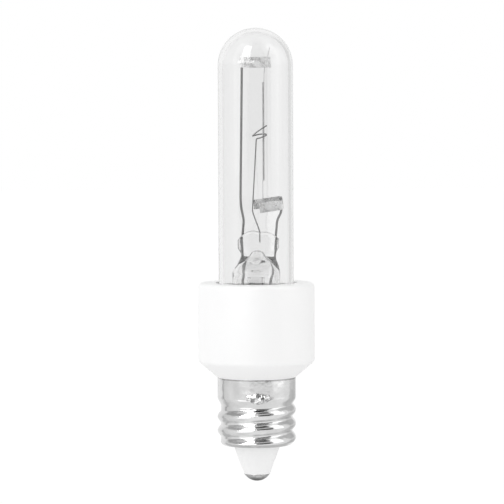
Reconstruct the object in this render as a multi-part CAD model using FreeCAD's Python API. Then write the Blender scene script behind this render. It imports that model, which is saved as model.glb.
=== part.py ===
"""Clear tubular lamp with a mini-candelabra screw base, built piece by piece.

Millimetres, +Z up along the lamp's axis. The origin is the lowest point of the base's tip, on the axis.
The base is at the bottom and the glass dome at the top.
-Y is the side with the blown hole in the stem and the solder on the shell.
Each height is stacked on the piece below it, and each radius on the piece inside or outside it.
"""
import FreeCAD, Part

import math
import os

from FreeCAD import Matrix, Rotation, Vector

# Clearances
SLIP_GAP = 0.04
SEAT_GAP = 0.01
SEAL_GAP = 0.02
WELD_GAP = 0.02
SPLICE_GAP = 0.04
JOIN_TOLERANCE = 0.0001

# Centre contact, a domed eyelet with its hole closed by solder
CONTACT_RADIUS = 1.83
CONTACT_HEIGHT = 1.03
CONTACT_SHEET = 0.25
EYELET_BORE = 0.55
EYELET_SHEET = 0.15
EYELET_RIM = 0.35
CONTACT_SOLDER_DEPTH = 0.60

# Conical tip insulator
INSULATOR_HEIGHT = 4.11
INSULATOR_FLOOR = 1.60
INSULATOR_POCKET_TO_EYELET = 0.75
FLANGE_HEIGHT = 1.20
FLANGE_TO_SHELL = 0.67

# Screw shell, rolled from sheet, with its floor turned in under the insulator's flange
SHELL_HEIGHT = 9.52
SHELL_SHEET = 0.25
SHELL_CORNER = 0.40
SHELL_FLOOR_WIDTH = 1.63
THREAD_MAJOR_RADIUS = 5.50
THREAD_DEPTH = 0.50
THREAD_PITCH = 1.95
THREAD_PHASE_HEIGHT = 1.08
THREAD_START_ANGLE = -90.0
THREAD_END_ANGLE = 820.0
THREAD_RUN_OUT_ANGLE = 90.0
THREAD_STEPS_PER_TURN = 28
THREAD_FACETS = 5
THREAD_WIDTH_IN_PITCHES = 0.92
THREAD_ROOT_IN_PITCHES = 0.42
RIDGE_SINK = 0.12
RIDGE_BASE = 0.21
SKIRT_HEIGHT = 2.70
SHOULDER_HEIGHT = 1.20
LEAD_HOLE_RADIUS = 0.40
LEAD_HOLE_ANGLE = 273.5
LEAD_HOLE_BELOW_TOP = 2.55

# Ceramic collar and the cement that holds the glass in it
COLLAR_HEIGHT = 13.28
COLLAR_WALL = 2.52
COLLAR_CHAMFER_HEIGHT = 2.25
COLLAR_EDGE_RADIUS = 0.60
COLLAR_MOUTH_CHAMFER = 0.15
COLLAR_FLOOR = 3.54
SPIGOT_LENGTH = 1.70
SPIGOT_WALL = 1.90
CEMENT_THICKNESS = 0.40
CEMENT_BED = 0.40
CEMENT_BELOW_MOUTH = 0.60

# Glass envelope
GLASS_RADIUS = 5.25
GLASS_WALL = 0.60
GLASS_ABOVE_CLIP = 4.05

# Glass stem, drawn from a flared tube and pinched flat at the top
FLARE_TO_GLASS = 1.30
FLARE_WALL = 0.60
BELL_HEIGHT = 3.60
BELL_STEPS = 3
FLARE_LENGTH = 7.00
STEM_SHOULDER_HEIGHT = 2.70
PRESS_OFFSET = 0.32
PRESS_HEIGHT = 3.40
PRESS_FOOT_HALF_WIDTH = 2.45
PRESS_TOP_HALF_WIDTH = 2.90
PRESS_HALF_THICKNESS = 1.15
PRESS_SHOULDER_DROP = 0.95
PRESS_DIMPLE = 0.14
PRESS_LEFT_ARCH = 1.35
PRESS_RIGHT_ARCH = 1.15
PRESS_SQUARENESS = 2.8
SHOULDER_SECTIONS = 5
SECTION_POINTS = 24
CAVITY_ROOF_CHAMFER = 0.60

# Exhaust tube, and the hole that was blown from it through the foot of the press
EXHAUST_RADIUS = 1.20
EXHAUST_WALL = 0.40
EXHAUST_LENGTH = 14.20
EXHAUST_TIP_TAPER = 2.00
EXHAUST_TIP_RADIUS = 0.40
BLOWN_HOLE_RADIUS = 0.52
BLOWN_HOLE_ABOVE_ROOF = 1.75
BLOWN_HOLE_RISE = 20.0

# Wires
INNER_LEAD_RADIUS = 0.165
SEAL_WIRE_RADIUS = 0.18
OUTER_LEAD_RADIUS = 0.20
LEAD_TO_EXHAUST = 0.54
SEAL_DEPTH = 1.40
SEAL_LENGTH = 2.90
LONG_SEAL_X = -1.95
SHORT_SEAL_X = 2.72
SEAL_LEAN = 0.25

# Inner leads above the press
LONG_LEAD_KINK = 0.28
LONG_LEAD_KINK_HEIGHT = 1.45
LONG_LEAD_FOOT_HEIGHT = 3.40
LONG_LEAD_BOW = 0.20
SHORT_LEAD_BEND_HEIGHT = 1.45
SHORT_LEAD_ELBOW_BELOW_CLIP = 1.30
SHORT_LEAD_LENGTH = 4.60

# Ribbon clips, folded round the leads
RIBBON_SHEET = 0.10
RIBBON_HEIGHT = 1.50
UPPER_CLIP_LENGTH = 4.36
UPPER_CLIP_HOOK = 0.55
UPPER_FLAP_TOP_LENGTH = 1.93
UPPER_FLAP_BOTTOM_LENGTH = 0.90
LOWER_CLIP_BACK_LENGTH = 4.05
LOWER_CLIP_FRONT_LENGTH = 3.30
LOWER_CLIP_GAP = 1.34
LOWER_CLIP_TILT = 27.0
LOWER_CLIP_RISE = 8.0
LOWER_CLIP_TO_GLASS = 0.85

# Filament, a coil with two straight tails
FILAMENT_X = 1.10
FILAMENT_LENGTH = 14.00
COIL_RADIUS = 0.17
COIL_BORE = 0.07
TAIL_RADIUS = 0.045
LOWER_TAIL = 2.95
UPPER_TAIL = 1.85
UPPER_TAIL_LEAN = 0.50
TAIL_END = 1.30

# Filament support, a wire from the press with a pigtail round the filament
SUPPORT_RADIUS = 0.10
SUPPORT_DEPTH = 1.60
SUPPORT_FOOT_X = 0.53
SUPPORT_KNEE_X = -0.47
SUPPORT_KNEE_HEIGHT = 2.55
SUPPORT_BELOW_COIL_TOP = 8.05
PIGTAIL_TO_LEFT = 1.50
PIGTAIL_RISE = 1.85

# Side solder, three lumps run together over the lead's hole
MIDDLE_LUMP_WIDTH = 2.45
SIDE_LUMP_WIDTH = 1.70
LUMP_HEIGHT = 1.50
LUMP_PROUD = 0.42
LUMP_SPACING = 1.16
LUMP_STAGGER = 0.15
SIDE_LUMP_SHARE = 0.70

# Places worked out from the sizes above
AXIS = Vector(0, 0, 1)
DOME_SPHERE = (CONTACT_RADIUS**2 + CONTACT_HEIGHT**2) / (2 * CONTACT_HEIGHT)
INSULATOR_FOOT_Z = CONTACT_HEIGHT
SHELL_FOOT_Z = INSULATOR_FOOT_Z + INSULATOR_HEIGHT
SHELL_TOP_Z = SHELL_FOOT_Z + SHELL_HEIGHT
SKIRT_FOOT_Z = SHELL_TOP_Z - SKIRT_HEIGHT
NECK_Z = SKIRT_FOOT_Z - SHOULDER_HEIGHT
THREAD_ROOT_RADIUS = THREAD_MAJOR_RADIUS - THREAD_DEPTH
FLOOR_HOLE_RADIUS = THREAD_ROOT_RADIUS - SHELL_FLOOR_WIDTH
INSULATOR_TOP_RADIUS = FLOOR_HOLE_RADIUS - SLIP_GAP
INSULATOR_POCKET_RADIUS = EYELET_BORE + EYELET_SHEET + EYELET_RIM + INSULATOR_POCKET_TO_EYELET
FLANGE_RADIUS = THREAD_ROOT_RADIUS - SHELL_SHEET - FLANGE_TO_SHELL
FIRST_CREST_Z = SHELL_FOOT_Z + THREAD_PHASE_HEIGHT
LEAD_HOLE_Z = SHELL_TOP_Z - LEAD_HOLE_BELOW_TOP
SPIGOT_RADIUS = THREAD_MAJOR_RADIUS - SHELL_SHEET - SLIP_GAP
COLLAR_BORE_RADIUS = SPIGOT_RADIUS - SPIGOT_WALL
COLLAR_TOP_Z = SHELL_TOP_Z + COLLAR_HEIGHT
COLLAR_FLOOR_Z = SHELL_TOP_Z + COLLAR_FLOOR
RECESS_RADIUS = GLASS_RADIUS + CEMENT_THICKNESS
COLLAR_RADIUS = RECESS_RADIUS + COLLAR_WALL
GLASS_FOOT_Z = COLLAR_FLOOR_Z + CEMENT_BED
GLASS_INNER_RADIUS = GLASS_RADIUS - GLASS_WALL
FLARE_RADIUS = GLASS_INNER_RADIUS - FLARE_TO_GLASS
STEM_SHOULDER_Z = GLASS_FOOT_Z + BELL_HEIGHT + FLARE_LENGTH
PRESS_FOOT_Z = STEM_SHOULDER_Z + STEM_SHOULDER_HEIGHT
PRESS_TOP_Z = PRESS_FOOT_Z + PRESS_HEIGHT
CAVITY_ROOF_Z = STEM_SHOULDER_Z + SEAT_GAP
SEAL_TOP_Z = PRESS_TOP_Z - SEAL_DEPTH
SEAL_FOOT_Z = SEAL_TOP_Z - SEAL_LENGTH
SHORT_LEAD_X = GLASS_INNER_RADIUS - LOWER_CLIP_TO_GLASS - RIBBON_SHEET - INNER_LEAD_RADIUS - WELD_GAP
LOWER_CLIP_Z = PRESS_TOP_Z + SHORT_LEAD_LENGTH - RIBBON_HEIGHT / 2
COIL_FOOT_Z = LOWER_CLIP_Z + LOWER_TAIL
COIL_TOP_Z = COIL_FOOT_Z + FILAMENT_LENGTH
UPPER_CLIP_FOOT_Z = COIL_TOP_Z + UPPER_TAIL
UPPER_CLIP_TOP_Z = UPPER_CLIP_FOOT_Z + RIBBON_HEIGHT
OVERALL_HEIGHT = UPPER_CLIP_TOP_Z + GLASS_ABOVE_CLIP
DOME_CENTRE_Z = OVERALL_HEIGHT - GLASS_RADIUS
CLIP_BACK_Y = INNER_LEAD_RADIUS + WELD_GAP + RIBBON_SHEET / 2
FOLD_GAP = 2 * TAIL_RADIUS + RIBBON_SHEET + 2 * WELD_GAP
FILAMENT_Y = CLIP_BACK_Y - FOLD_GAP / 2
LONG_LEAD_TOP_X = -FILAMENT_X - UPPER_TAIL_LEAN - LONG_LEAD_KINK


def polar(radius, degrees, z):
    """A point at a radius and an angle about the axis."""
    a = math.radians(degrees)
    return Vector(radius * math.cos(a), radius * math.sin(a), z)


def smooth(t):
    """A step from 0 to 1 that starts and ends level."""
    t = min(max(t, 0.0), 1.0)
    return t * t * (3 - 2 * t)


def blend(a, b, t):
    """From a to b as the smooth step goes from 0 to 1."""
    return a + (b - a) * smooth(t)


def blend_evenly(a, b, t):
    """From a to b at an even rate as t goes from 0 to 1."""
    return a + (b - a) * t


# Turned pieces

def turned(start, *steps):
    """A solid turned about the axis: a step is (r, z) for a line or (r, z, r_mid, z_mid) for an arc."""
    edges = []
    here = Vector(start[0], 0, start[1])
    for step in list(steps) + [start]:
        there = Vector(step[0], 0, step[1])
        if len(step) == 4:
            edges.append(Part.Arc(here, Vector(step[2], 0, step[3]), there).toShape())
        else:
            edges.append(Part.makeLine(here, there))
        here = there
    face = Part.Face(Part.Wire(edges))
    return face.revolve(Vector(0, 0, 0), AXIS, 360)


def arc_point(centre_r, centre_z, radius, degrees):
    """A point of an outline's arc, at an angle from +r towards +z."""
    a = math.radians(degrees)
    return centre_r + radius * math.cos(a), centre_z + radius * math.sin(a)


def dome_z(radius, r):
    """Height at radius r of a ball centred over the contact's lowest point."""
    return DOME_SPHERE - math.sqrt(radius**2 - r**2)


def centre_contact():
    """The domed eyelet: cap, barrel through the insulator and a rim turned over its floor."""
    inner = DOME_SPHERE - CONTACT_SHEET
    rim_r = math.sqrt(inner**2 - (DOME_SPHERE - CONTACT_HEIGHT) ** 2)
    barrel = EYELET_BORE + EYELET_SHEET
    middle_out = (EYELET_BORE + CONTACT_RADIUS) / 2
    middle_in = (barrel + rim_r) / 2
    rim_z = INSULATOR_FOOT_Z + INSULATOR_FLOOR
    return turned(
        (EYELET_BORE, dome_z(DOME_SPHERE, EYELET_BORE)),
        (CONTACT_RADIUS, CONTACT_HEIGHT, middle_out, dome_z(DOME_SPHERE, middle_out)),
        (rim_r, CONTACT_HEIGHT),
        (barrel, dome_z(inner, barrel), middle_in, dome_z(inner, middle_in)),
        (barrel, rim_z),
        (barrel + EYELET_RIM, rim_z),
        (barrel + EYELET_RIM, rim_z + EYELET_SHEET),
        (EYELET_BORE, rim_z + EYELET_SHEET),
    )


def contact_solder():
    """The plug of solder in the eyelet, flush with its dome."""
    r = EYELET_BORE - SEAT_GAP
    edge_z = dome_z(DOME_SPHERE, r)
    top_z = edge_z + CONTACT_SOLDER_DEPTH
    return turned((0, 0), (r, edge_z, r / 2, dome_z(DOME_SPHERE, r / 2)), (r, top_z), (0, top_z))


def tip_insulator():
    """The truncated cone, with a flange that rests on the shell's floor and a pocket over the eyelet."""
    bore = EYELET_BORE + EYELET_SHEET + SEAT_GAP
    floor_z = INSULATOR_FOOT_Z + INSULATOR_FLOOR
    flange_z = SHELL_FOOT_Z + SHELL_SHEET
    return turned(
        (bore, INSULATOR_FOOT_Z),
        (CONTACT_RADIUS, INSULATOR_FOOT_Z),
        (INSULATOR_TOP_RADIUS, SHELL_FOOT_Z),
        (INSULATOR_TOP_RADIUS, flange_z),
        (FLANGE_RADIUS, flange_z),
        (FLANGE_RADIUS, flange_z + FLANGE_HEIGHT),
        (INSULATOR_POCKET_RADIUS, flange_z + FLANGE_HEIGHT),
        (INSULATOR_POCKET_RADIUS, floor_z),
        (bore, floor_z),
    )


def ceramic_collar():
    """The collar: a spigot in the shell's skirt, a sloping foot, an eased rim and a recess for the glass."""
    edge_r = COLLAR_RADIUS - COLLAR_EDGE_RADIUS
    edge_z = COLLAR_TOP_Z - COLLAR_EDGE_RADIUS
    return turned(
        (COLLAR_BORE_RADIUS, SHELL_TOP_Z - SPIGOT_LENGTH),
        (SPIGOT_RADIUS, SHELL_TOP_Z - SPIGOT_LENGTH),
        (SPIGOT_RADIUS, SHELL_TOP_Z),
        (THREAD_MAJOR_RADIUS, SHELL_TOP_Z),
        (COLLAR_RADIUS, SHELL_TOP_Z + COLLAR_CHAMFER_HEIGHT),
        (COLLAR_RADIUS, edge_z),
        arc_point(edge_r, edge_z, COLLAR_EDGE_RADIUS, 45),
        (edge_r, COLLAR_TOP_Z),
        (RECESS_RADIUS + COLLAR_MOUTH_CHAMFER, COLLAR_TOP_Z),
        (RECESS_RADIUS, COLLAR_TOP_Z - COLLAR_MOUTH_CHAMFER),
        (RECESS_RADIUS, COLLAR_FLOOR_Z),
        (COLLAR_BORE_RADIUS, COLLAR_FLOOR_Z),
    )


def basing_cement():
    """The cement: a bed under the glass and a sleeve round it."""
    outer = RECESS_RADIUS - SEAT_GAP
    sleeve = GLASS_RADIUS + SEAT_GAP
    bed = GLASS_INNER_RADIUS - FLARE_WALL
    top_z = COLLAR_TOP_Z - CEMENT_BELOW_MOUTH
    return turned(
        (bed, COLLAR_FLOOR_Z),
        (outer, COLLAR_FLOOR_Z),
        (outer, top_z),
        (sleeve, top_z),
        (sleeve, GLASS_FOOT_Z),
        (bed, GLASS_FOOT_Z),
    )


def glass_envelope():
    """The tube, closed by a round dome and open at its foot."""
    return turned(
        (GLASS_INNER_RADIUS, GLASS_FOOT_Z),
        (GLASS_RADIUS, GLASS_FOOT_Z),
        (GLASS_RADIUS, DOME_CENTRE_Z),
        (0, OVERALL_HEIGHT, *arc_point(0, DOME_CENTRE_Z, GLASS_RADIUS, 45)),
        (0, OVERALL_HEIGHT - GLASS_WALL),
        (GLASS_INNER_RADIUS, DOME_CENTRE_Z, *arc_point(0, DOME_CENTRE_Z, GLASS_INNER_RADIUS, 45)),
    )


def exhaust_tube():
    """The thin tube under the press, tipped off to a closed point."""
    bore = EXHAUST_RADIUS - EXHAUST_WALL
    tip_z = CAVITY_ROOF_Z - EXHAUST_LENGTH
    shoulder_z = tip_z + EXHAUST_TIP_TAPER
    tip = EXHAUST_TIP_RADIUS
    return turned(
        (bore, CAVITY_ROOF_Z),
        (bore, shoulder_z),
        (0, tip_z + EXHAUST_TIP_TAPER / 2),
        (0, tip_z),
        (tip, tip_z + tip, *arc_point(0, tip_z + tip, tip, -45)),
        (EXHAUST_RADIUS, shoulder_z),
        (EXHAUST_RADIUS, CAVITY_ROOF_Z),
    )


# Screw shell

def solid_of(faces):
    """A solid from faces that share their edges."""
    shell = Part.makeShell(faces)
    shell.sewShape()
    solid = Part.makeSolid(shell)
    if solid.Volume < 0:
        solid.reverse()
    return solid


def shell_blank(inset):
    """The shell before its thread is rolled, filled up: its outside, or its inside when inset."""
    foot_z = SHELL_FOOT_Z + inset
    root = THREAD_ROOT_RADIUS - inset
    skirt = THREAD_MAJOR_RADIUS - inset
    return turned(
        (0, foot_z),
        (root - SHELL_CORNER, foot_z),
        (root, foot_z + SHELL_CORNER),
        (root, NECK_Z),
        (skirt, SKIRT_FOOT_Z),
        (skirt, SHELL_TOP_Z),
        (0, SHELL_TOP_Z),
    )


def thread_height(across):
    """Height of the ridge over the root, as a share of its depth: a wave that dips under at its edges."""
    wave = math.cos(2 * math.pi * across)
    root = math.cos(2 * math.pi * THREAD_ROOT_IN_PITCHES)
    crest = math.cos(math.pi * THREAD_WIDTH_IN_PITCHES / THREAD_FACETS)
    return (wave - root) / (crest - root)


def thread_fade(degrees):
    """A step from 0 to 1 and back to 0 over the thread's run-out at its two ends."""
    into = (degrees - THREAD_START_ANGLE) / THREAD_RUN_OUT_ANGLE
    out = (THREAD_END_ANGLE - degrees) / THREAD_RUN_OUT_ANGLE
    return smooth(into) * smooth(out)


def helix_line(across, lift):
    """Poles of a right-hand helix beside the crest, lifted over the root by a function of the angle."""
    swell = 3 / (2 + math.cos(2 * math.pi / THREAD_STEPS_PER_TURN))
    steps = round((THREAD_END_ANGLE - THREAD_START_ANGLE) / 360 * THREAD_STEPS_PER_TURN)
    line = []
    for i in range(steps + 1):
        degrees = blend_evenly(THREAD_START_ANGLE, THREAD_END_ANGLE, i / steps)
        z = FIRST_CREST_Z + THREAD_PITCH * (degrees / 360 + across)
        line.append(polar(swell * (THREAD_ROOT_RADIUS + lift(degrees)), degrees, z))
    return line


def helix_strip(low, high):
    """A strip between two helix lines, cubic along them and straight across."""
    degree = 3
    spans = len(low) - degree
    ends = [degree + 1]
    surface = Part.BSplineSurface()
    surface.buildFromPolesMultsKnots(
        [[a, b] for a, b in zip(low, high)],
        ends + [1] * (spans - 1) + ends,
        [2, 2],
        list(range(spans + 1)),
        [0, 1],
        False, False, degree, 1,
    )
    return surface.toShape()


def thread_ridge(inset):
    """The thread as a ridge wound round the blank, faceted across and sunk into the blank at both ends."""
    lines = []
    for i in range(THREAD_FACETS + 1):
        across = THREAD_WIDTH_IN_PITCHES * (i / THREAD_FACETS - 0.5)
        height = thread_height(across) * THREAD_DEPTH
        lines.append(helix_line(across, lambda a: blend_evenly(-RIDGE_SINK, height, thread_fade(a)) - inset))
    edge = THREAD_WIDTH_IN_PITCHES / 2
    for across in (edge, -edge):
        lines.append(helix_line(across, lambda a: -RIDGE_BASE - inset))
    faces = [helix_strip(low, high) for low, high in zip(lines, lines[1:] + lines[:1])]
    for end in (0, -1):
        corners = [line[end] for line in lines]
        faces.append(Part.Face(Part.makePolygon(corners + corners[:1])))
    low_z = SHELL_FOOT_Z + SHELL_CORNER + inset
    high_z = NECK_Z + SHOULDER_HEIGHT / 2
    band = Part.makeCylinder(2 * THREAD_MAJOR_RADIUS, high_z - low_z, AXIS * low_z)
    return solid_of(faces).common(band)


def lead_hole():
    """The hole in the skirt that the shell's lead comes out of."""
    out = polar(1, LEAD_HOLE_ANGLE, 0)
    start = out * (THREAD_ROOT_RADIUS - 2 * SHELL_SHEET) + AXIS * LEAD_HOLE_Z
    return Part.makeCylinder(LEAD_HOLE_RADIUS, THREAD_MAJOR_RADIUS, start, out)


def screw_shell():
    """The rolled shell: the thread stands out of the wall outside and leaves the same groove inside."""
    outside = shell_blank(0).fuse([thread_ridge(0)], JOIN_TOLERANCE)
    inside = shell_blank(SHELL_SHEET).fuse([thread_ridge(SHELL_SHEET)], JOIN_TOLERANCE)
    below_floor = AXIS * (SHELL_FOOT_Z - SHELL_SHEET / 2)
    floor_hole = Part.makeCylinder(FLOOR_HOLE_RADIUS, 2 * SHELL_SHEET, below_floor)
    return outside.cut(inside).cut(floor_hole).cut(lead_hole())


# Glass stem

def bell_steps(inset):
    """Steps of the flare's outline up from the lip, wide at the glass and narrow at the stem."""
    steps = []
    for i in range(BELL_STEPS + 1):
        t = i / BELL_STEPS
        radius = blend(GLASS_INNER_RADIUS - SEAL_GAP, FLARE_RADIUS, t) - inset
        steps.append((radius, GLASS_FOOT_Z + BELL_HEIGHT * t))
    return steps


def flare():
    """The flare, filled up, from its lip to the shoulder of the press."""
    return turned((0, GLASS_FOOT_Z), *bell_steps(0), (FLARE_RADIUS, STEM_SHOULDER_Z), (0, STEM_SHOULDER_Z))


def flare_cavity():
    """The space inside the flare, open at the lip and chamfered under its roof."""
    bore = FLARE_RADIUS - FLARE_WALL
    return turned(
        (0, GLASS_FOOT_Z - FLARE_WALL),
        (GLASS_INNER_RADIUS - SEAL_GAP - FLARE_WALL, GLASS_FOOT_Z - FLARE_WALL),
        *bell_steps(FLARE_WALL),
        (bore, CAVITY_ROOF_Z - CAVITY_ROOF_CHAMFER),
        (bore - CAVITY_ROOF_CHAMFER, CAVITY_ROOF_Z),
        (0, CAVITY_ROOF_Z),
    )


def stem_section(z):
    """The outline at a height over the shoulder: round at first, then squeezed to an oval and off centre."""
    if z <= STEM_SHOULDER_Z:
        return Part.Wire(Part.makeCircle(FLARE_RADIUS, AXIS * z))
    squeeze = (z - STEM_SHOULDER_Z) / STEM_SHOULDER_HEIGHT
    spread = (z - PRESS_FOOT_Z) / (PRESS_HEIGHT / 2)
    width = blend(FLARE_RADIUS, PRESS_FOOT_HALF_WIDTH, squeeze)
    width = blend(width, PRESS_TOP_HALF_WIDTH, spread)
    depth = blend(FLARE_RADIUS, PRESS_HALF_THICKNESS, squeeze)
    power = 2 / blend(2, PRESS_SQUARENESS, squeeze)
    centre = blend(0, PRESS_OFFSET, squeeze)
    points = []
    for i in range(SECTION_POINTS):
        angle = 2 * math.pi * i / SECTION_POINTS
        c = math.cos(angle)
        s = math.sin(angle)
        x = centre + width * math.copysign(abs(c) ** power, c)
        y = depth * math.copysign(abs(s) ** power, s)
        points.append(Vector(x, y, z))
    curve = Part.BSplineCurve()
    curve.interpolate(points, PeriodicFlag=True)
    return Part.Wire(curve.toShape())


def press():
    """The shoulder and the press, through sections from the round flare to over the press's top."""
    step = STEM_SHOULDER_HEIGHT / SHOULDER_SECTIONS
    heights = [STEM_SHOULDER_Z + step * i for i in range(SHOULDER_SECTIONS + 1)]
    heights += [PRESS_FOOT_Z + PRESS_HEIGHT / 4, PRESS_FOOT_Z + PRESS_HEIGHT / 2, PRESS_TOP_Z + PRESS_DIMPLE]
    return Part.makeLoft([stem_section(z) for z in heights], True, True)


def above_press():
    """What is cut from over the press, to leave two low arches that meet at the support wire."""
    left = PRESS_OFFSET - PRESS_TOP_HALF_WIDTH - GLASS_WALL
    right = PRESS_OFFSET + PRESS_TOP_HALF_WIDTH + GLASS_WALL
    side_z = PRESS_TOP_Z - PRESS_SHOULDER_DROP - GLASS_WALL / 2
    over_z = PRESS_TOP_Z + 2 * PRESS_SHOULDER_DROP
    dip = Vector(SUPPORT_FOOT_X, 0, PRESS_TOP_Z - PRESS_DIMPLE)
    left_foot = Vector(left, 0, side_z)
    right_foot = Vector(right, 0, side_z)
    left_arch = Part.Arc(left_foot, Vector(dip.x - PRESS_LEFT_ARCH, 0, PRESS_TOP_Z), dip).toShape()
    right_arch = Part.Arc(dip, Vector(dip.x + PRESS_RIGHT_ARCH, 0, PRESS_TOP_Z), right_foot).toShape()
    over_right = Vector(right, 0, over_z)
    over_left = Vector(left, 0, over_z)
    sides = [
        Part.makeLine(right_foot, over_right),
        Part.makeLine(over_right, over_left),
        Part.makeLine(over_left, left_foot),
    ]
    face = Part.Face(Part.Wire([left_arch, right_arch] + sides))
    depth = 3 * PRESS_HALF_THICKNESS
    face.translate(Vector(0, depth, 0))
    return face.extrude(Vector(0, -2 * depth, 0))


def blown_hole():
    """The exhaust's way up from the roof and out through the front of the press's foot."""
    bore = EXHAUST_RADIUS - EXHAUST_WALL
    turn_z = CAVITY_ROOF_Z + BLOWN_HOLE_ABOVE_ROOF
    riser = Part.makeCylinder(bore, turn_z - CAVITY_ROOF_Z + SEAT_GAP, AXIS * (CAVITY_ROOF_Z - SEAT_GAP))
    a = math.radians(BLOWN_HOLE_RISE)
    out = Vector(0, -math.cos(a), math.sin(a))
    start = AXIS * (turn_z - BLOWN_HOLE_RADIUS)
    return riser.fuse(Part.makeCylinder(BLOWN_HOLE_RADIUS, FLARE_RADIUS, start, out))


def stem_flare():
    """The stem: flare and press in one piece of glass, with close holes for the wires sealed in it."""
    stem = flare().fuse(press()).cut(flare_cavity()).cut(above_press()).cut(blown_hole())
    for points, radius in sealed_wires():
        stem = stem.cut(bent_wire(points, radius + SEAL_GAP))
    return stem


# Wires

def bent_path(points):
    """Straight runs between points, joined by tangent arcs as large as the shorter run allows."""
    edges = []
    here = points[0]
    for before, corner, after in zip(points, points[1:], points[2:]):
        into = (before - corner).normalize()
        out = (after - corner).normalize()
        half_turn = (math.pi - into.getAngle(out)) / 2
        set_back = 0.45 * min(before.distanceToPoint(corner), after.distanceToPoint(corner))
        radius = set_back / math.tan(half_turn)
        inward = (into + out).normalize()
        start = corner + into * set_back
        end = corner + out * set_back
        middle = corner + inward * (radius / math.cos(half_turn) - radius)
        edges.append(Part.makeLine(here, start))
        edges.append(Part.Arc(start, middle, end).toShape())
        here = end
    edges.append(Part.makeLine(here, points[-1]))
    return Part.Wire(edges)


def bent_wire(points, radius):
    """A round wire bent through points."""
    path = bent_path(points)
    along = (points[1] - points[0]).normalize()
    section = Part.Wire(Part.makeCircle(radius, points[0], along))
    return path.makePipeShell([section], True, False)


def ribbon(points, height):
    """A strip of sheet standing on edge, folded through points of its middle line at the strip's foot."""
    path = bent_path(points)
    along = (points[1] - points[0]).normalize()
    side = along.cross(AXIS) * (RIBBON_SHEET / 2)
    up = AXIS * height
    start = points[0]
    corners = [start - side, start + side, start + side + up, start - side + up, start - side]
    return path.makePipeShell([Part.makePolygon(corners)], True, False)


def seal_ends(x, lean):
    """Top and foot of a seal wire in the press."""
    return Vector(x, 0, SEAL_TOP_Z), Vector(x + lean, 0, SEAL_FOOT_Z)


def long_seal_points():
    return list(seal_ends(LONG_SEAL_X, SEAL_LEAN))


def short_seal_points():
    return list(seal_ends(SHORT_SEAL_X, -SEAL_LEAN))


def long_lead_points():
    """From the press past a small kink and a slight bow to the upper clip."""
    x = LONG_LEAD_TOP_X
    foot_x = LONG_SEAL_X - LONG_LEAD_KINK / 2
    return [
        Vector(LONG_SEAL_X, 0, SEAL_TOP_Z + SPLICE_GAP),
        Vector(foot_x + LONG_LEAD_KINK * 1.4, 0, PRESS_TOP_Z + LONG_LEAD_KINK_HEIGHT),
        Vector(foot_x, 0, PRESS_TOP_Z + LONG_LEAD_FOOT_HEIGHT),
        Vector(foot_x - LONG_LEAD_BOW / 4, 0, (PRESS_TOP_Z + 2 * COIL_FOOT_Z) / 3),
        Vector(x, 0, UPPER_CLIP_FOOT_Z),
        Vector(x + SEAT_GAP, 0, UPPER_CLIP_TOP_Z - RIBBON_HEIGHT / 4),
    ]


def lower_clip_turn():
    """How the lower clip is turned from upright and level: its front low, and rising to the right."""
    return Rotation(Vector(0, 1, 0), -LOWER_CLIP_RISE).multiply(Rotation(Vector(1, 0, 0), LOWER_CLIP_TILT))


def short_lead_points():
    """From the press outwards to an elbow, and square up through the lower clip."""
    through = lower_clip_turn().multVec(AXIS)
    clip = Vector(SHORT_LEAD_X, 0, LOWER_CLIP_Z)
    return [
        Vector(SHORT_SEAL_X, 0, SEAL_TOP_Z + SPLICE_GAP),
        Vector(SHORT_SEAL_X + SEAL_LEAN, 0, PRESS_TOP_Z + SHORT_LEAD_BEND_HEIGHT),
        clip - through * SHORT_LEAD_ELBOW_BELOW_CLIP,
        clip + through * (RIBBON_HEIGHT / 2),
    ]


def shell_lead_points():
    """From the press down the flare beside the exhaust tube and out to the hole in the skirt."""
    top = seal_ends(SHORT_SEAL_X, -SEAL_LEAN)[1]
    beside = EXHAUST_RADIUS + LEAD_TO_EXHAUST + OUTER_LEAD_RADIUS
    turn_z = SHELL_TOP_Z - SPIGOT_LENGTH + 2 * OUTER_LEAD_RADIUS
    return [
        top - AXIS * SPLICE_GAP,
        Vector(beside, 0, CAVITY_ROOF_Z - 2 * CAVITY_ROOF_CHAMFER),
        polar(beside, (LEAD_HOLE_ANGLE - 360) / 3, turn_z),
        polar(COLLAR_BORE_RADIUS, LEAD_HOLE_ANGLE, LEAD_HOLE_Z),
        polar(THREAD_MAJOR_RADIUS - SHELL_SHEET / 2, LEAD_HOLE_ANGLE, LEAD_HOLE_Z),
    ]


def contact_lead_points():
    """From the press down the flare, past the exhaust's tip and into the eyelet."""
    top = seal_ends(LONG_SEAL_X, SEAL_LEAN)[1]
    beside = EXHAUST_RADIUS + LEAD_TO_EXHAUST + OUTER_LEAD_RADIUS
    solder_top = dome_z(DOME_SPHERE, EYELET_BORE - SEAT_GAP) + CONTACT_SOLDER_DEPTH
    return [
        top - AXIS * SPLICE_GAP,
        Vector(-beside, 0, CAVITY_ROOF_Z - 2 * CAVITY_ROOF_CHAMFER),
        Vector(-beside, 0, SHELL_TOP_Z),
        Vector(0, 0, SHELL_FOOT_Z),
        Vector(0, 0, solder_top + WELD_GAP),
    ]


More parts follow.
